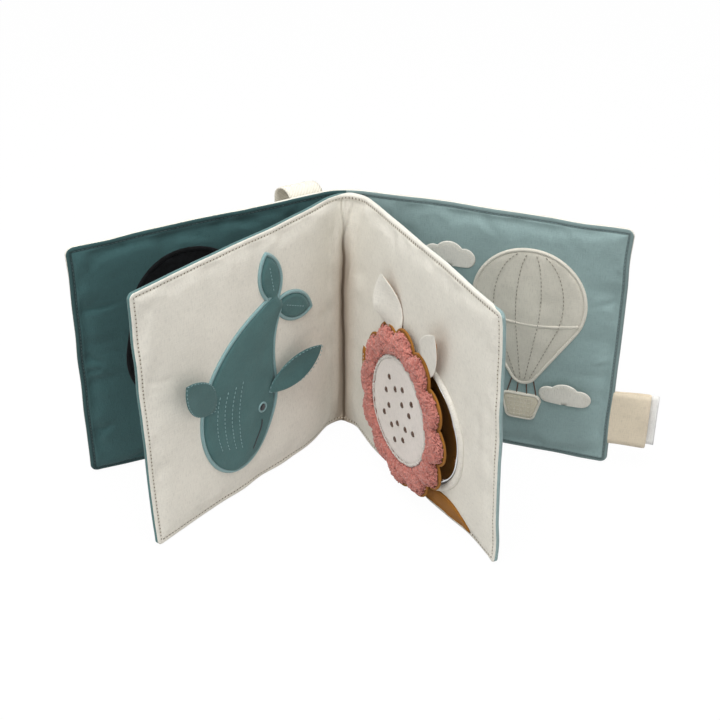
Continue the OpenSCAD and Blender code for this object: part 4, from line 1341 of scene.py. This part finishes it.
# black oval: the hull of a large circle below and a smaller one above
oval = dict(mid=np.array([105.5, 104.]), radius=45, ratio=.86, drop=36, thick=.9, lumps=.4)
half = np.array([0, oval["drop"] / 2])
small = oval["radius"] * oval["ratio"]
outline = hullOutline(oval["mid"] - half, oval["radius"], oval["mid"] + half, small, 90, (80, 60), 1.3)
a, v, f = fanGrid(outline, oval["mid"], 20)
high = oval["thick"] + oval["lumps"] * softNoise(a, v, 7, 55)
sewOn("ovalPatch", "front_cover", sewnDown(frontLining, a, v, high, ease((1 - f) / .05)),
      [bead(frontLining, outline, 3., 1.2)], ["velvet"], ["velvet"], ["oval_patch", "oval_border"],
      flat=(.09, .12), area=.0091, held="laid", rests_on=["frontCover"])
print("book: balloon and oval sewn on")


def ribbonShell(place, path, across, thick):
    # a ribbon: its path in one plane, its width across, an oblong section with rounded edges along it
    d = unitOf(np.gradient(path, axis=0))
    normal = np.stack([-d[:, 1], d[:, 0]], -1)
    w = np.concatenate([np.linspace(0, 1, 13), np.linspace(1, 0, 13)])
    h = np.repeat([.5, -.5], 13) * thick
    h[[0, 12, 13, 25]] *= .55
    shut = np.ones((len(path), 1))
    shut[[0, -1]] = 0
    p, q = [path[:, k, None] + normal[:, k, None] * h * shut for k in (0, 1)]
    wide = np.broadcast_to(across[0] + (across[1] - across[0]) * w, p.shape)
    flat = np.stack(np.broadcast_arrays(lengthAlong(path)[:, None], wide), -1).reshape(-1, 2)
    return place(p, q, wide).reshape(-1, 3), gridFaces(len(path), len(w), wrapCols=True), flat, 0


loop = dict(start=5.7, low=4, wide=24, thick=1.5, radius=7.5, drop=46, tab=12, skew=.3, off=2.2, margin=2)
near = loop["off"] + loop["thick"] / 2
rear = near + 2 * loop["radius"]
middle = near + loop["radius"]
top = book["height"] - loop["low"]
foot = top - loop["drop"] - loop["radius"]


def onLoop(p, q, c):
    # a place p behind the front cover's plan, q up and c out from its hinge, drawn aside as it stands off
    return onSheet(outerSheet, -(c + book["spineHalf"] + loop["skew"] * (p - near)), q, -p)


def onLoopEnd(a, v, h):
    # a place on the outside of the loop's sewn ends
    return onSheet(outerSheet, -(a + book["spineHalf"]), v, -(near + loop["thick"] / 2 + h))


path = np.concatenate([[[near, top - loop["tab"]], [near, top - 5]],
                       arcPath((middle, top), loop["radius"], 180, 0),
                       [[rear + .6, top - 18]],
                       arcPath((middle, foot + 2 * loop["radius"]), loop["radius"], 0, -90),
                       arcPath((middle, foot), loop["radius"], 90, 180),
                       [[near, foot - loop["tab"]]]])
sides = (loop["start"], loop["start"] + loop["wide"])
webbing = [ribbonShell(onLoop, evenly(path, 1.3, False), sides, loop["thick"])]
rowA = np.linspace(sides[0] + loop["margin"], sides[1] - loop["margin"], 40)
trim = [runningStitch(onLoopEnd, np.stack([rowA, np.full(40, v)], -1), 2.6, base=0)
        for v in (top - loop["tab"] + 2, top - 4.5, foot - 2.5, foot - loop["tab"] + 2.2)]
sewOn("carryLoop", "front_cover", webbing, trim, ["webbing"], ["creamThread"], ["carrying_loop"],
      flat=(.024, .106), held="folded", rests_on=["frontCover"])

label = dict(wide=42, long=25, thick=.8, low=17, fold=1.9, tuck=2.5, tagExtra=5, tagIn=1, tagThick=.4)
start = book["coverWidth"] - label["tuck"]
end = book["coverWidth"] + label["long"]
sides = np.array([label["low"], label["low"] + label["wide"]])


def onLabel(p, q, w):
    # a place p out from the back cover's hinge, q off its plan and w up: the label waves and leans back
    gone = p - start
    off = q + .5 * np.sin(w * .17) * gone / 28 - .06 * gone + .5
    return onSheet(outerSheet, p + book["spineHalf"], w + .9 * np.sin(gone / 14), off)


path = np.concatenate([[[start, -.5], [start + 4, -.9]],
                       arcPath((end - label["fold"], 0), label["fold"] - label["thick"] / 2, -90, 90, 20),
                       [[start + 4, .9], [start, .5]]])
sewOn("sideLabel", "back_cover", [ribbonShell(onLabel, evenly(path, .7, False), sides, label["thick"])], [],
      ["labelCloth"], [], ["side_label"], flat=(.042, .055), held="folded", rests_on=["backCover"])
path = np.array([[start, -1.3], [start + 15, -2.5], [end + 1, -2.9], [end + label["tagExtra"], -2.5]])
sides = sides + [label["tagIn"], -label["tagIn"]]
sewOn("careTag", "back_cover", [ribbonShell(onLabel, evenly(path, .8, False), sides, label["tagThick"])], [],
      ["careCloth"], [], ["care_label"], flat=(.04, .0325), held="hung", rests_on=["backCover"])
print("book: loop and labels sewn in")

# white floor, which glows for the camera and takes a faint shadow, under a white sky
studio = dict(half=4, z=-.0004, grey=.6, glow=1.02, share=.95, sky=.45)
half, z = studio["half"], studio["z"]
corners = [(-half, -half, z), (half, -half, z), (half, half, z), (-half, half, z)]
floorMesh = bpy.data.meshes.new("floor")
floorMesh.from_pydata(corners, [], [(0, 1, 2, 3)])
floor = bpy.data.objects.new("floor", floorMesh)
scene.collection.objects.link(floor)
paper = Surface("floorPaper", .9, specular=0.)
paper.shader.inputs["Base Color"].default_value = (studio["grey"],) * 3 + (1,)
glow = paper.node("Emission", {"Strength": studio["glow"]})
share = paper.math("MULTIPLY", paper.seen(), studio["share"])
paper.surface(paper.shader.outputs[0], glow, share, "Material Output")
floorMesh.materials.append(paper.owner)

scene.world = bpy.data.worlds.new("studio")
sky = Nodes(scene.world)
white = (1, 1, 1, 1)
dim = sky.tree.nodes["Background"]
dim.inputs["Color"].default_value = white
dim.inputs["Strength"].default_value = studio["sky"]
bright = sky.node("Background", {"Color": white, "Strength": 1.})
sky.surface(dim.outputs[0], bright, sky.seen(), "World Output")

lamps = dict(key=dict(at=(-.7, -1.0, 1.4), size=1.1, watts=11.5),
             fill=dict(at=(1.1, -.9, .9), size=1.2, watts=2.8),
             top=dict(at=(0, -.3, 1.65), size=1., watts=20.))
aim = Vector((0, -.06, .08))
for name, lamp in lamps.items():
    light = bpy.data.lights.new(name, "AREA")
    light.size, light.energy = lamp["size"], lamp["watts"]
    holder = bpy.data.objects.new(name, light)
    holder.location = lamp["at"]
    holder.rotation_euler = (aim - Vector(lamp["at"])).to_track_quat("-Z", "Y").to_euler()
    scene.collection.objects.link(holder)

view = dict(at=(.0092, -.8101, .5359), down=31.17, lens=65.58, sensor=36)
cameraData = bpy.data.cameras.new("camera")
cameraData.lens, cameraData.sensor_width = view["lens"], view["sensor"]
camera = bpy.data.objects.new("camera", cameraData)
camera.location = view["at"]
camera.rotation_euler = (np.radians(90 - view["down"]), 0, 0)
scene.collection.objects.link(camera)
scene.camera = camera
scene.view_settings.view_transform = "Standard"
print("book: floor, lamps and camera set")

bpy.context.view_layer.update()
